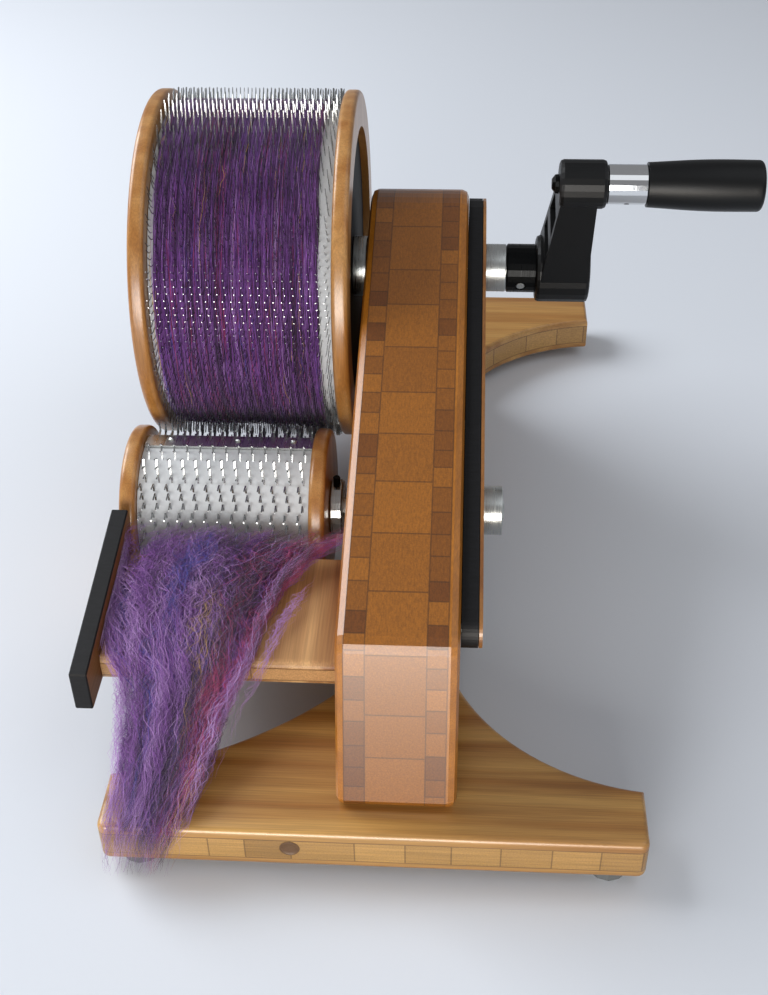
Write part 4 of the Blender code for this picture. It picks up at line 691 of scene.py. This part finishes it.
@dataclass
class CardClothing:
    """Card clothing of one roller: a smooth backing and staggered rows of kneed wire teeth.

    Shares of a tooth: knee_height of its length, tip_lean of its lean, tip_width of its width.
    Columns are shifted by a share of their pitch from row to row, and rows whose angle in degrees
    lies in the bare seam are left out.
    """

    name: str
    node: str
    body: Body
    axis: Vector
    backing: float
    tip: float
    columns: int
    rows: int
    wire: float
    knee_lean: float
    row_shift: float
    seam: tuple[float, float] = (0.0, 0.0)
    backing_wall: float = 0.003
    backing_sides: int = 160
    first_column: float = 0.25
    most_shift: float = 0.5
    knee_height: float = 0.45
    tip_lean: float = 0.15
    tip_width: float = 0.8

    def build(self) -> None:
        """Make the backing and the teeth in place of the node."""
        low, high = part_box(self.node)
        inside = self.backing - self.backing_wall
        outline = ((low[0], inside), (low[0], self.backing), (high[0], self.backing), (high[0], inside))
        backing = turned_mesh(f"{self.name}_backing", self.axis, outline, self.backing_sides)
        piece = show(f"{self.name}_backing", backing, CLOTH, self.body)
        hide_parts(self.node)
        teeth = self.teeth_mesh(low[0], high[0])
        show(f"{self.name}_teeth", teeth, WIRE, self.body, False)
        log.info("%s: %d wire teeth", self.name, len(teeth.vertices) // 12)

    def teeth_mesh(self, left: float, right: float) -> Mesh:
        """All teeth as one mesh. A tooth leans back to its knee and forward to its tip.

        Args:
            left: Left edge of the clothing.
            right: Right edge of the clothing.

        Returns:
            The mesh.
        """
        pitch, row_angle = (right - left) / self.columns, math.tau / self.rows
        knee = self.backing + self.knee_height * (self.tip - self.backing)
        root = (self.backing - self.wire, 0.0, 1.0)
        levels = (root, (knee, 1.0, 1.0), (self.tip, self.tip_lean, self.tip_width))
        points, faces = [], []
        for row in range(self.rows):
            if self.seam[0] <= math.degrees(row * row_angle) < self.seam[1]:
                continue
            shift = self.first_column + row * self.row_shift % self.most_shift
            for column in range(self.columns):
                start = len(points)
                for radius, lean, width in levels:
                    angle = row * row_angle - self.knee_lean * lean / radius
                    points += self.wire_corners(left + (column + shift) * pitch, angle, radius, width)
                faces += band_faces(3, 4, start)
                ends = (range(start + 8, start + 12), range(start + 3, start - 1, -1))
                faces += [list(end) for end in ends]
        return mesh_of(f"{self.name}_teeth", points, faces)

    def wire_corners(self, x: float, angle: float, radius: float, width: float) -> list[tuple]:
        """Four corners of a wire at one height.

        Args:
            x: Place along the roller.
            angle: Angle round the roller, from the top.
            radius: Distance from the axis.
            width: Share of the wire's full width.

        Returns:
            The corners.
        """
        half, sine, cosine = self.wire / 2 * width, math.sin(angle), math.cos(angle)
        y, z = self.axis.y + radius * sine, self.axis.z + radius * cosine
        sides = ((-half, -half), (half, -half), (half, half), (-half, half))
        return [(x + along, y + cosine * across, z - sine * across) for along, across in sides]


def strand_mesh(name: str, paths: np.ndarray, radii: np.ndarray) -> Mesh:
    """Mesh of many fine three-sided strands.

    Args:
        name: Name of the mesh.
        paths: Points by strand, by step and by coordinate.
        radii: Radius of each strand.

    Returns:
        One mesh with all strands.
    """
    count, steps, _ = paths.shape
    ways = np.gradient(paths, axis=1)
    ways /= np.linalg.norm(ways, axis=2, keepdims=True) + 1e-12
    helper = np.where(np.abs(ways[..., 2:3]) < 0.8, [[[0.0, 0.0, 1.0]]], [[[1.0, 0.0, 0.0]]])
    side = np.cross(ways, helper)
    side /= np.linalg.norm(side, axis=2, keepdims=True) + 1e-12
    other = np.cross(ways, side)
    taper = np.sin(np.linspace(0.12, math.pi - 0.12, steps)) ** 0.5
    reach = (radii[:, None] * taper[None, :])[..., None]
    turns = [math.tau * corner / 3 for corner in range(3)]
    corners = [paths + reach * (math.cos(turn) * side + math.sin(turn) * other) for turn in turns]
    points = np.stack(corners, axis=2).reshape(-1, 3)
    start = (np.arange(count) * steps)[:, None] + np.arange(steps - 1)[None, :]
    start = (start * 3).reshape(-1, 1)
    faces = np.concatenate([start + [[a, (a + 1) % 3, (a + 1) % 3 + 3, a + 3]] for a in range(3)])
    return mesh_of(name, points, faces.tolist())


def drifting(rng: np.random.Generator, count: int, steps: int, size: float, waves: float) -> np.ndarray:
    """Smooth random drift for each strand.

    Args:
        rng: Seeded source of random numbers.
        count: Number of strands.
        steps: Number of steps along a strand.
        size: Typical size of the drift.
        waves: Number of waves along a strand.

    Returns:
        Drift by strand and step.
    """
    along = np.linspace(0, 1, steps)[None, :]
    total = np.zeros((count, steps))
    for octave in range(3):
        phase = rng.uniform(0, math.tau, (count, 1))
        pace = waves * (1.6**octave) * rng.uniform(0.6, 1.4, (count, 1))
        height = size / (1.5**octave) * rng.normal(0.7, 0.3, (count, 1))
        total += np.sin(math.tau * pace * along + phase) * height
    return total


@dataclass
class CardedBatt:
    """Wool that the drum has picked up: a felted layer between the teeth with strands over it."""

    axis: Vector
    backing: float = 0.0813
    crown: float = 0.0846
    left_bare: float = 0.0024
    right_bare: float = 0.0068
    edge_width: float = 0.004
    layer_lift: float = 0.0004
    layer_depth: float = 0.0012
    ridge: float = 0.00035
    strand_lift: float = 0.0022
    strand_depth: float = 0.001
    clump_width: float = 0.0009
    short_share: float = 0.35
    radii: tuple[float, float] = (0.00005, 0.00012)
    layer_sides: int = 220
    layer_ridges: int = 60
    strands: int = 4200
    strand_steps: int = 14
    seed: int = 11
    mix: tuple[tuple[WoolTone, float], ...] = (
        (WoolTone.PLUM, 0.34),
        (WoolTone.VIOLET, 0.50),
        (WoolTone.LAVENDER, 0.05),
        (WoolTone.MAGENTA, 0.06),
        (WoolTone.BLUE, 0.03),
        (WoolTone.GOLD, 0.02),
    )

    def build(self) -> None:
        """Make the layer and its strands, all turning with the drum."""
        low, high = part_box("drum_card_cloth")
        left, right = low[0] + self.left_bare, high[0] - self.right_bare
        rng = np.random.default_rng(self.seed)
        self.build_layer(rng, left, right)
        for tone, share in self.mix:
            self.build_strands(rng, tone, int(self.strands * share), left, right)

    def on_drum(self, x: np.ndarray, radius: np.ndarray, angles: np.ndarray) -> np.ndarray:
        """Points at places along the drum, distances from its axis and angles from its top."""
        return np.stack([x, self.axis.y + radius * np.sin(angles), self.axis.z + radius * np.cos(angles)], 2)

    def build_layer(self, rng: np.random.Generator, left: float, right: float) -> None:
        """Make the felted layer, with soft ridges that run round the drum.

        Args:
            rng: Seeded source of random numbers.
            left: Left edge of the wool.
            right: Right edge of the wool.
        """
        sides, across = self.layer_sides, self.layer_ridges
        angles = np.linspace(0, math.tau, sides, endpoint=False)[None, :]
        places = np.linspace(left, right, across)[:, None]
        ridges = rng.normal(0, self.ridge, across)[:, None] + drifting(rng, across, sides, 0.0002, 9)
        edge = np.clip(np.minimum(places - left, right - places) / self.edge_width, 0, 1) ** 0.5
        height = self.crown - self.backing - self.layer_depth + ridges
        radius = self.backing + self.layer_lift + height * edge
        sway = drifting(rng, across, sides, 0.0006, 5) * (edge < 1)
        points = self.on_drum(places + sway, radius, angles).reshape(-1, 3)
        mesh = mesh_of("drum_batt_layer", points, band_faces(across, sides))
        show("drum_batt_layer", mesh, WoolTone.PLUM.value, Body.DRUM)

    def build_strands(
        self, rng: np.random.Generator, tone: WoolTone, count: int, left: float, right: float
    ) -> None:
        """Make the strands of one dye, lying round the drum. Half of them gather in clumps.

        Args:
            rng: Seeded source of random numbers.
            tone: Dye of the strands.
            count: Number of strands.
            left: Left edge of the wool.
            right: Right edge of the wool.
        """
        steps = self.strand_steps
        middle = rng.uniform(0, math.tau, (count, 1))
        clump = rng.uniform(left + 0.001, right - 0.001, (max(count // 10, 1), 1))
        home = np.where(rng.random((count, 1)) < 0.5, clump[rng.integers(0, len(clump), count)], 0.0)
        alone = rng.uniform(left, right, (count, 1))
        home = np.where(home == 0.0, alone, home + rng.normal(0, self.clump_width, (count, 1)))
        span = rng.uniform(0.25, 0.9, (count, 1))
        if tone in (WoolTone.GOLD, WoolTone.BLUE):
            span *= self.short_share
        angles = middle + span * np.linspace(-1, 1, steps)[None, :]
        x = np.clip(home, left, right) + drifting(rng, count, steps, 0.0007, 1.2)
        depth = rng.beta(2.2, 1.6, (count, 1))
        height = (self.crown - self.backing - self.strand_depth) * depth
        radius = self.backing + self.strand_lift + height
        radius = radius + drifting(rng, count, steps, 0.0003, 2.0)
        radii = rng.uniform(*self.radii, count)
        name = f"drum_batt_{tone.name.lower()}"
        mesh = strand_mesh(name, self.on_drum(x, radius, angles), radii)
        show(name, mesh, tone.value, Body.DRUM, False)


@dataclass
class FeedFleece:
    """Loose wool on the tray: it starts under the licker-in, falls over the edge and thins out.

    Its sides, as shares of the tray's width, and its thickness go with the shares of its run.
    A dye of the mix has a share of the strands, and gathers about a share of the wool's width.
    """

    licker_axis: Vector
    strands: int = 11000
    clump: int = 26
    steps: int = 18
    licker_room: float = 0.0432
    radii: tuple[float, float] = (0.00004, 0.0001)
    lock_scatter: float = 0.03
    stray_share: float = 0.35
    last_start: float = 0.85
    lengths: tuple[float, float] = (0.12, 0.5)
    least_length: float = 0.05
    least_reach: float = 0.82
    guard_room: float = 0.003
    guard_skin: float = 0.00075
    toe_room: float = 0.0025
    base_skin: float = 0.0005
    floor_skin: float = 0.003
    left_reach: float = 0.0081
    front_reach: float = 0.0095
    seed: int = 5
    run_shares: tuple[float, ...] = (0.0, 0.10, 0.25, 0.42, 0.52, 0.58, 0.70, 0.85, 0.93, 1.0)
    left_shares: tuple[float, ...] = (0.00, -0.02, -0.02, 0.02, 0.08, 0.13, 0.16, 0.17, 0.16, 0.14)
    right_shares: tuple[float, ...] = (0.94, 0.80, 0.68, 0.62, 0.60, 0.57, 0.52, 0.47, 0.42, 0.34)
    thickness: tuple[float, ...] = (
        0.0034, 0.0034, 0.0030, 0.0026, 0.0024, 0.0026, 0.0036, 0.0030, 0.0020, 0.0018,
    )
    mix: tuple[tuple[WoolTone, float, float, float], ...] = (
        (WoolTone.PLUM, 0.33, 0.58, 0.22),
        (WoolTone.VIOLET, 0.33, 0.50, 0.26),
        (WoolTone.LAVENDER, 0.21, 0.36, 0.36),
        (WoolTone.MAGENTA, 0.08, 0.86, 0.12),
        (WoolTone.BLUE, 0.04, 0.40, 0.20),
        (WoolTone.GOLD, 0.01, 0.80, 0.20),
    )

    def build(self) -> None:
        """Make the strands of each dye, and stand them in for the soft solid."""
        rng = np.random.default_rng(self.seed)
        for tone, share, centre, spread in self.mix:
            name = f"tray_wool_{tone.name.lower()}"
            count = int(self.strands * share)
            paths = self.paths(rng, count, centre, spread)
            mesh = strand_mesh(name, paths, rng.uniform(*self.radii, count))
            piece = show(name, mesh, tone.value, Body.FRAME, False)
            if tone is WoolTone.PLUM:
                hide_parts("feed_fibre")

    def spine(self) -> np.ndarray:
        """Middle line of the wool, chosen from the tray's and the base's edges.

        Returns:
            Points as (y, z), in the places of run_shares.
        """
        tray_low, tray_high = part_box("infeed_tray")
        base_low, base_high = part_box("base_plate")
        rear, brow, top = tray_high[1], tray_low[1], tray_high[2]
        toe, ledge = base_low[1], base_high[2]
        return np.array(
            [
                (rear + 0.0016, top + 0.0130),
                (rear - 0.0084, top + 0.0090),
                (rear - 0.0284, top + 0.0055),
                (rear - 0.0534, top + 0.0040),
                (brow - 0.0016, top + 0.0020),
                (brow - 0.0094, top - 0.0040),
                (brow - 0.0234, top - 0.0120),
                (toe + 0.0200, ledge + 0.0077),
                (toe - 0.0020, ledge + 0.0017),
                (toe - 0.0086, ledge - 0.0215),
            ]
        )

    def paths(self, rng: np.random.Generator, count: int, centre: float, spread: float) -> np.ndarray:
        """Paths of strands that lie in locks about one share of the wool's width.

        Args:
            rng: Seeded source of random numbers.
            count: Number of strands.
            centre: Share of the width where the locks gather.
            spread: How widely they scatter, as a share of the width.

        Returns:
            Points by strand, step and coordinate.
        """
        locks = max(count // self.clump, 3)
        lock = rng.integers(0, locks, count)
        along = self.runs(rng, lock, locks)
        home = rng.normal(centre, spread, (locks, 1))[lock]
        home = home + drifting(rng, locks, self.steps, 0.05, 0.8)[lock]
        lane = home + rng.normal(0, self.lock_scatter, (count, 1))
        lane = lane + drifting(rng, count, self.steps, 0.02, 1.2)
        inside = np.clip(lane, 0, 1)
        lane = inside + (lane - inside) * self.stray_share
        tables = (*self.spine().T, self.left_shares, self.right_shares, self.thickness)
        y, z, left, right, thick = (np.interp(along, self.run_shares, table) for table in tables)
        tray_low, tray_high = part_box("infeed_tray")
        x = tray_low[0] + (tray_high[0] - tray_low[0]) * (left + (right - left) * lane)
        fluff = rng.normal(0, 0.7, (locks, 1))[lock] + rng.normal(0, 0.5, (count, 1))
        lift = np.clip(fluff + drifting(rng, count, self.steps, 0.3, 1.3), -1.3, 2.2) * thick
        y = y - np.clip(along - 0.5, 0, 0.2) * lift * 3
        x = x + drifting(rng, count, self.steps, 0.0017, 2.4)
        y = y + drifting(rng, count, self.steps, 0.0006, 2.0)
        return self.cleared(x, y, z + lift)

    def runs(self, rng: np.random.Generator, lock: np.ndarray, locks: int) -> np.ndarray:
        """Choose where along the wool each strand starts and how far it runs.

        Args:
            rng: Seeded source of random numbers.
            lock: Number of each strand's lock.
            locks: Number of locks.

        Returns:
            Share of the wool's run, by strand and step.
        """
        count = len(lock)
        start = (rng.beta(1.0, 1.3, (locks, 1)) * 0.78)[lock] + rng.normal(0, 0.04, (count, 1))
        start = np.clip(start, 0.0, self.last_start)
        reach = self.least_reach + (1 - self.least_reach) * rng.beta(1.8, 1.2, (count, 1))
        length = np.minimum(rng.uniform(*self.lengths, (count, 1)), reach - start)
        length = np.maximum(length, self.least_length)
        return start + length * np.linspace(0, 1, self.steps)[None, :]

    def cleared(self, x: np.ndarray, y: np.ndarray, z: np.ndarray) -> np.ndarray:
        """Keep strands off the licker-in, the guard, the base and the floor.

        Args:
            x: Places across the tray.
            y: Places from front to back.
            z: Heights.

        Returns:
            Points by strand, step and coordinate.
        """
        axis = self.licker_axis
        push = np.maximum(self.licker_room / np.hypot(y - axis.y, z - axis.z), 1.0)
        y, z = axis.y + (y - axis.y) * push, axis.z + (z - axis.z) * push
        base_low, base_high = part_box("base_plate")
        floor = np.where(y < base_low[1] - self.toe_room, self.floor_skin, base_high[2] + self.base_skin)
        guard_low, guard_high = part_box("tray_guard")
        beside = y > guard_low[1] - self.guard_room
        wall = np.where(beside, guard_high[0] + self.guard_skin, guard_low[0] - self.left_reach)
        y = np.clip(y, base_low[1] - self.front_reach, None)
        return np.stack([np.maximum(x, wall), y, np.maximum(z, floor)], 2)


@dataclass
class BaseBoard:
    """Base board with its two lobes: each lobe runs into the waist in a hollow curve."""

    lobe_end: float = 0.030
    waist: float = 0.0885
    left_radius: float = 0.184
    right_radius: float = 0.100
    corner: float = 0.004
    corner_steps: int = 5
    edge: float = 0.0025
    edge_steps: int = 4
    # Place, size and rings of the dark disc that paints the shade inside the hole in the front edge
    hole_place: tuple[float, float] = (-0.0560, 0.0180)
    hole_radius: float = 0.0043
    hole_sides: int = 32
    hole_rings: tuple[tuple[float, float], ...] = (
        (1.0, 0.0),
        (1.0, -0.0002),
        (0.86, -0.0003),
        (0.80, -0.0001),
        (0.4, -0.00005),
    )

    def build(self) -> None:
        """Make the board and the dark disc of painted shade in the hole in its front edge."""
        low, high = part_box("base_plate")
        outline = self.outline(low, high)
        rings = []
        for step in range(self.edge_steps + 1):
            turn = math.pi / 2 * step / self.edge_steps
            rings.append((self.edge * (1 - math.sin(turn)), self.edge * (1 - math.cos(turn))))
        heights = [(inset, low[2] + up) for inset, up in rings]
        heights += [(inset, high[2] - up) for inset, up in reversed(rings)]
        points = [(*spot, z) for inset, z in heights for spot in self.shrunk(outline, inset)]
        count = len(outline)
        faces = band_faces(len(heights), count)
        faces.append(list(range(count))[::-1])
        faces.append([len(points) - count + index for index in range(count)])
        mesh = mesh_of("base_board", points, faces)
        board = show("base_board", mesh, BASE_BOARD, Body.FRAME)
        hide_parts("base_plate")
        # A dark disc of painted shade stands for the inside of the hole in the front edge
        self.build_hole_shade(low[1])

    def outline(self, low: Sequence[float], high: Sequence[float]) -> list[Vector]:
        """Outline of the board, counterclockwise: its front half, then that half mirrored.

        Args:
            low: Lowest corner of the board.
            high: Highest corner of the board.

        Returns:
            Points of the outline.
        """
        upright_low, upright_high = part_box("upright")
        waist, lobe_end = low[1] + self.waist, low[1] + self.lobe_end
        left_waist, left_end = Vector((upright_low[0], waist)), Vector((low[0], lobe_end))
        right_end, right_waist = Vector((high[0], lobe_end)), Vector((upright_high[0], waist))
        points = self.hollow(left_waist, left_end, self.left_radius)
        for x, start in ((low[0] + self.corner, math.pi), (high[0] - self.corner, math.pi * 1.5)):
            for step in range(self.corner_steps + 1):
                turn = start + math.pi / 2 * step / self.corner_steps
                way = Vector((math.cos(turn), math.sin(turn)))
                points.append(Vector((x, low[1] + self.corner)) + way * self.corner)
        points += self.hollow(right_end, right_waist, self.right_radius)
        return points + [Vector((point.x, -point.y)) for point in reversed(points)]

    @staticmethod
    def hollow(start: Vector, end: Vector, radius: float, steps: int = 20) -> list[Vector]:
        """Arc from start to end whose centre lies outside the board.

        Args:
            start: First point.
            end: Last point.
            radius: Radius of the arc.
            steps: Number of steps along it.

        Returns:
            Points of the arc.
        """
        chord = end - start
        outward = Vector((chord.y, -chord.x)).normalized()
        centre = (start + end) / 2 + outward * math.sqrt(radius**2 - (chord.length / 2) ** 2)
        first = math.atan2(start.y - centre.y, start.x - centre.x)
        last = math.atan2(end.y - centre.y, end.x - centre.x)
        sweep = (last - first + math.pi) % math.tau - math.pi
        turns = [first + sweep * step / steps for step in range(steps + 1)]
        return [centre + Vector((math.cos(turn), math.sin(turn))) * radius for turn in turns]

    @staticmethod
    def shrunk(outline: list[Vector], inset: float) -> list[Vector]:
        """Move an outline inward.

        Args:
            outline: Points, counterclockwise.
            inset: Distance to move.

        Returns:
            The moved points.
        """
        moved = []
        for index, point in enumerate(outline):
            before = (point - outline[index - 1]).normalized()
            after = (outline[(index + 1) % len(outline)] - point).normalized()
            way = before + after
            inward = Vector((-way.y, way.x)).normalized()
            moved.append(point + inward * (inset / max(inward.dot(Vector((-before.y, before.x))), 0.4)))
        return moved

    def build_hole_shade(self, face: float) -> None:
        """Make the dark disc of painted shade in the hole in the front edge of the board: a raised rim round
        a dished end.

        Args:
            face: Y of the front edge.
        """
        points = []
        for share, proud in self.hole_rings:
            for step in range(self.hole_sides):
                turn, radius = math.tau * step / self.hole_sides, self.hole_radius * share
                x = self.hole_place[0] + radius * math.cos(turn)
                points.append((x, face + proud, self.hole_place[1] + radius * math.sin(turn)))
        faces = band_faces(len(self.hole_rings), self.hole_sides)
        faces.append(list(range(len(points) - self.hole_sides, len(points))))
        mesh = mesh_of("base_edge_hole_shade", points, faces)
        # Its dark colour is painted shade for the inside of the hole
        show("base_edge_hole_shade", mesh, HOLE_SHADE, Body.FRAME)


@dataclass
class KeptSolids:
    """Solids that keep their shape and get a finish, found by a part of their name."""

    finishes: tuple[tuple[Finish, tuple[str, ...]], ...] = ()

    def build(self) -> None:
        """Dress every node whose name holds one of the words of a finish."""
        for finish, words in self.finishes:
            for node in frame["nodes"]:
                if any(word in node for word in words):
                    dress_node(node, finish)


@dataclass
class Woodwork(KeptSolids):
    """Boards and dowels of the machine."""

    finishes: tuple[tuple[Finish, tuple[str, ...]], ...] = (
        (UPRIGHT_BOARD, ("upright",)),
        (TRAY_BOARD, ("infeed_tray",)),
        (COVER_BOARD, ("belt_cover",)),
        (SOOTY_EDGE, ("belt_housing", "tray_guard")),
        (BLACK_BOARD, ("drum_end_disc", "drum_core", "licker_core")),
        (BEECH, ("tray_dowel",)),
    )


@dataclass
class Hardware(KeptSolids):
    """Screws, shafts, bearings, pulleys, feet and moulded pieces."""

    finishes: tuple[tuple[Finish, tuple[str, ...]], ...] = (
        (ZINC_STEEL, ("_shaft", "drum_end_nut", "licker_seam_bar", "crank_set_screw", "_screw_")),
        (BLACK_OXIDE, ("grip_spindle", "licker_collar_screw")),
        (NYLON, ("crank_arm", "_pulley")),
        (BELT, ("drive_belt",)),
        (FOOT_RUBBER, ("foot_",)),
        (BRONZE, ("_bearing_",)),
    )


@dataclass
class Rollers:
    """Drum and licker-in: their flanges, collars, card clothing and wool."""

    drum_axis: Vector
    licker_axis: Vector
    disc_bore: float = 0.0722
    drum_shaft: float = 0.0063
    licker_shaft: float = 0.0053
    flange_fillet: float = 0.0024
    collar_fillet: float = 0.0006

    def build(self) -> None:
        """Make all turned pieces and the clothing of both rollers."""
        axes = {Body.DRUM: self.drum_axis, Body.LICKER: self.licker_axis}
        wood = (FLANGE_BOARD, "carbonised_bamboo", self.flange_fillet)
        steel = (ZINC_STEEL, "steel", self.collar_fillet)
        for name, body, bore, (finish, slot, fillet) in (
            ("drum_flange_left", Body.DRUM, self.disc_bore, wood),
            ("drum_flange_right", Body.DRUM, self.disc_bore, wood),
            ("licker_flange_left", Body.LICKER, self.licker_shaft, wood),
            ("licker_flange_right", Body.LICKER, self.licker_shaft, wood),
            ("drum_hub", Body.DRUM, self.drum_shaft, steel),
            ("drum_outer_collar", Body.DRUM, self.drum_shaft, steel),
            ("licker_outer_collar", Body.LICKER, self.licker_shaft, steel),
        ):
            Turning(name, body, finish, slot, axes[body], bore, fillet).build()
        dress_node("licker_inner_collar", ZINC_STEEL)
        self.build_clothing()
        CardedBatt(self.drum_axis).build()

    def build_clothing(self) -> None:
        """Clothe both rollers: fine teeth on the drum, coarser ones on the licker-in."""
        CardClothing(
            "drum_card",
            "drum_card_cloth",
            Body.DRUM,
            self.drum_axis,
            backing=0.0813,
            tip=0.0911,
            columns=22,
            rows=168,
            wire=0.00042,
            knee_lean=0.0011,
            row_shift=0.37,
        ).build()
        CardClothing(
            "licker_card",
            "licker_card_cloth",
            Body.LICKER,
            self.licker_axis,
            backing=0.0348,
            tip=0.0411,
            columns=13,
            rows=50,
            wire=0.0008,
            knee_lean=-0.0034,
            row_shift=0.33,
            seam=(0.0, 20.0),
        ).build()


@dataclass
class Crank:
    """Crank outside the belt cover: black hub, chromed sleeve and turned grip."""

    grip_axis: Vector
    spindle_bore: float = 0.0043
    end_fillet: float = 0.0022

    def build(self) -> None:
        """Dress the crank's solids and turn the grip."""
        dress_node("crank_hub", BLACK_OXIDE)
        dress_node("grip_sleeve", CHROME)
        grip = (GRIP_SKIN, "grip_plastic", self.grip_axis, self.spindle_bore, self.end_fillet)
        TurnedGrip("grip_handle", Body.GRIP, *grip).build()


@dataclass(frozen=True)
class Lamp:
    """A soft rectangular lamp, with its power in watts. One for gloss alone lights no matt surface."""

    name: str
    place: tuple[float, float, float]
    target: tuple[float, float, float]
    size: tuple[float, float]
    power: float
    colour: str
    gloss_alone: bool = False

    def hang(self) -> None:
        """Put the lamp into the scene, out of the camera's sight."""
        light = bpy.data.lights.new(self.name, "AREA")
        light.shape = "RECTANGLE"
        light.size, light.size_y = self.size
        light.energy = self.power
        light.color = linear(self.colour)[:3]
        holder = bpy.data.objects.new(self.name, light)
        holder.location = self.place
        way = Vector(self.target) - Vector(self.place)
        holder.rotation_euler = way.to_track_quat("-Z", "Y").to_euler()
        holder.visible_camera = False
        holder.visible_diffuse = not self.gloss_alone
        bpy.context.scene.collection.objects.link(holder)


@dataclass
class Studio:
    """Camera at the photograph's angle, pale floor and soft lights."""

    place: tuple[float, float, float] = (0.0102, -0.5782, 0.4831)
    pitch: float = math.radians(38.056)
    heading: float = math.radians(-3.857)
    roll: float = math.radians(-1.037)
    lens: float = 49.02
    sensor: float = 36.0
    nearest: float = 0.01
    floor_reach: float = 6.0
    floor_finish: Finish = Finish("floor_matt_cloth", "#d8dce2", 0.9, specular=0.0)
    world_colour: str = "#f1f2f6"
    world_strength: float = 0.29
    lamps: tuple[Lamp, ...] = (
        Lamp("left_window", (-1.15, 0.45, 1.0), (0.0, 0.05, 0.05), (1.0, 1.0), 25.0, "#f8fbff"),
        Lamp("front_window", (-0.2, -1.3, 0.28), (0.0, -0.1, 0.09), (0.9, 0.45), 12.0, "#ffffff"),
        Lamp("right_fill", (0.85, -0.2, 1.25), (0.1, 0.0, 0.0), (1.4, 1.4), 4.5, "#f6faff"),
        Lamp("low_window", (-0.02, -0.5, 0.118), (-0.02, -0.19, 0.09), (0.5, 0.15), 1.9, "#fff2e0", True),
    )

    def build(self) -> None:
        """Set up everything round the object."""
        self.build_camera()
        self.build_floor()
        self.build_world()
        for lamp in self.lamps:
            lamp.hang()
        bpy.context.scene.view_settings.view_transform = "Standard"

    def build_camera(self) -> None:
        """Place the camera from its heading, pitch and roll."""
        camera = bpy.data.cameras.new("photo_camera")
        camera.lens = self.lens
        camera.sensor_width = self.sensor
        camera.clip_start = self.nearest
        holder = bpy.data.objects.new("photo_camera", camera)
        ahead = math.cos(self.pitch)
        east, north = math.sin(self.heading), math.cos(self.heading)
        forward = Vector((east * ahead, north * ahead, -math.sin(self.pitch)))
        level = Vector((north, -east, 0.0))
        upright = level.cross(forward)
        right = level * math.cos(self.roll) + upright * math.sin(self.roll)
        up = upright * math.cos(self.roll) - level * math.sin(self.roll)
        turn = Matrix((right, up, -forward)).transposed().to_4x4()
        holder.matrix_world = Matrix.Translation(self.place) @ turn
        bpy.context.scene.collection.objects.link(holder)
        bpy.context.scene.camera = holder

    def build_floor(self) -> None:
        """Lay the pale floor that keeps the object's shadow."""
        reach = self.floor_reach
        corners = [(-reach, -reach, 0), (reach, -reach, 0), (reach, reach, 0), (-reach, reach, 0)]
        mesh = mesh_of("floor", corners, [[0, 1, 2, 3]])
        floor = bpy.data.objects.new("floor", mesh)
        bpy.context.scene.collection.objects.link(floor)
        mesh.materials.append(self.floor_finish.make())

    def build_world(self) -> None:
        """Light everything evenly and softly from all round."""
        world = bpy.data.worlds.new("studio")
        world.use_nodes = True
        bpy.context.scene.world = world
        back = world.node_tree.nodes["Background"]
        back.inputs["Color"].default_value = linear(self.world_colour)
        back.inputs["Strength"].default_value = self.world_strength


def main() -> None:
    """Dress the whole machine and set up the studio."""
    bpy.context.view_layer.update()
    steps: tuple[tuple[str, Callable[[], None]], ...] = (
        ("base board", BaseBoard().build),
        ("woodwork", Woodwork().build),
        ("hardware", Hardware().build),
        ("rollers", Rollers(joint_place("drum_spin"), joint_place("licker_spin")).build),
        ("crank", Crank(joint_place("grip_spin")).build),
        ("feed fleece", FeedFleece(joint_place("licker_spin")).build),
        ("studio", Studio().build),
    )
    for name, build in steps:
        build()
        log.info("Built the %s", name)


if __name__ == "__main__":
    main()
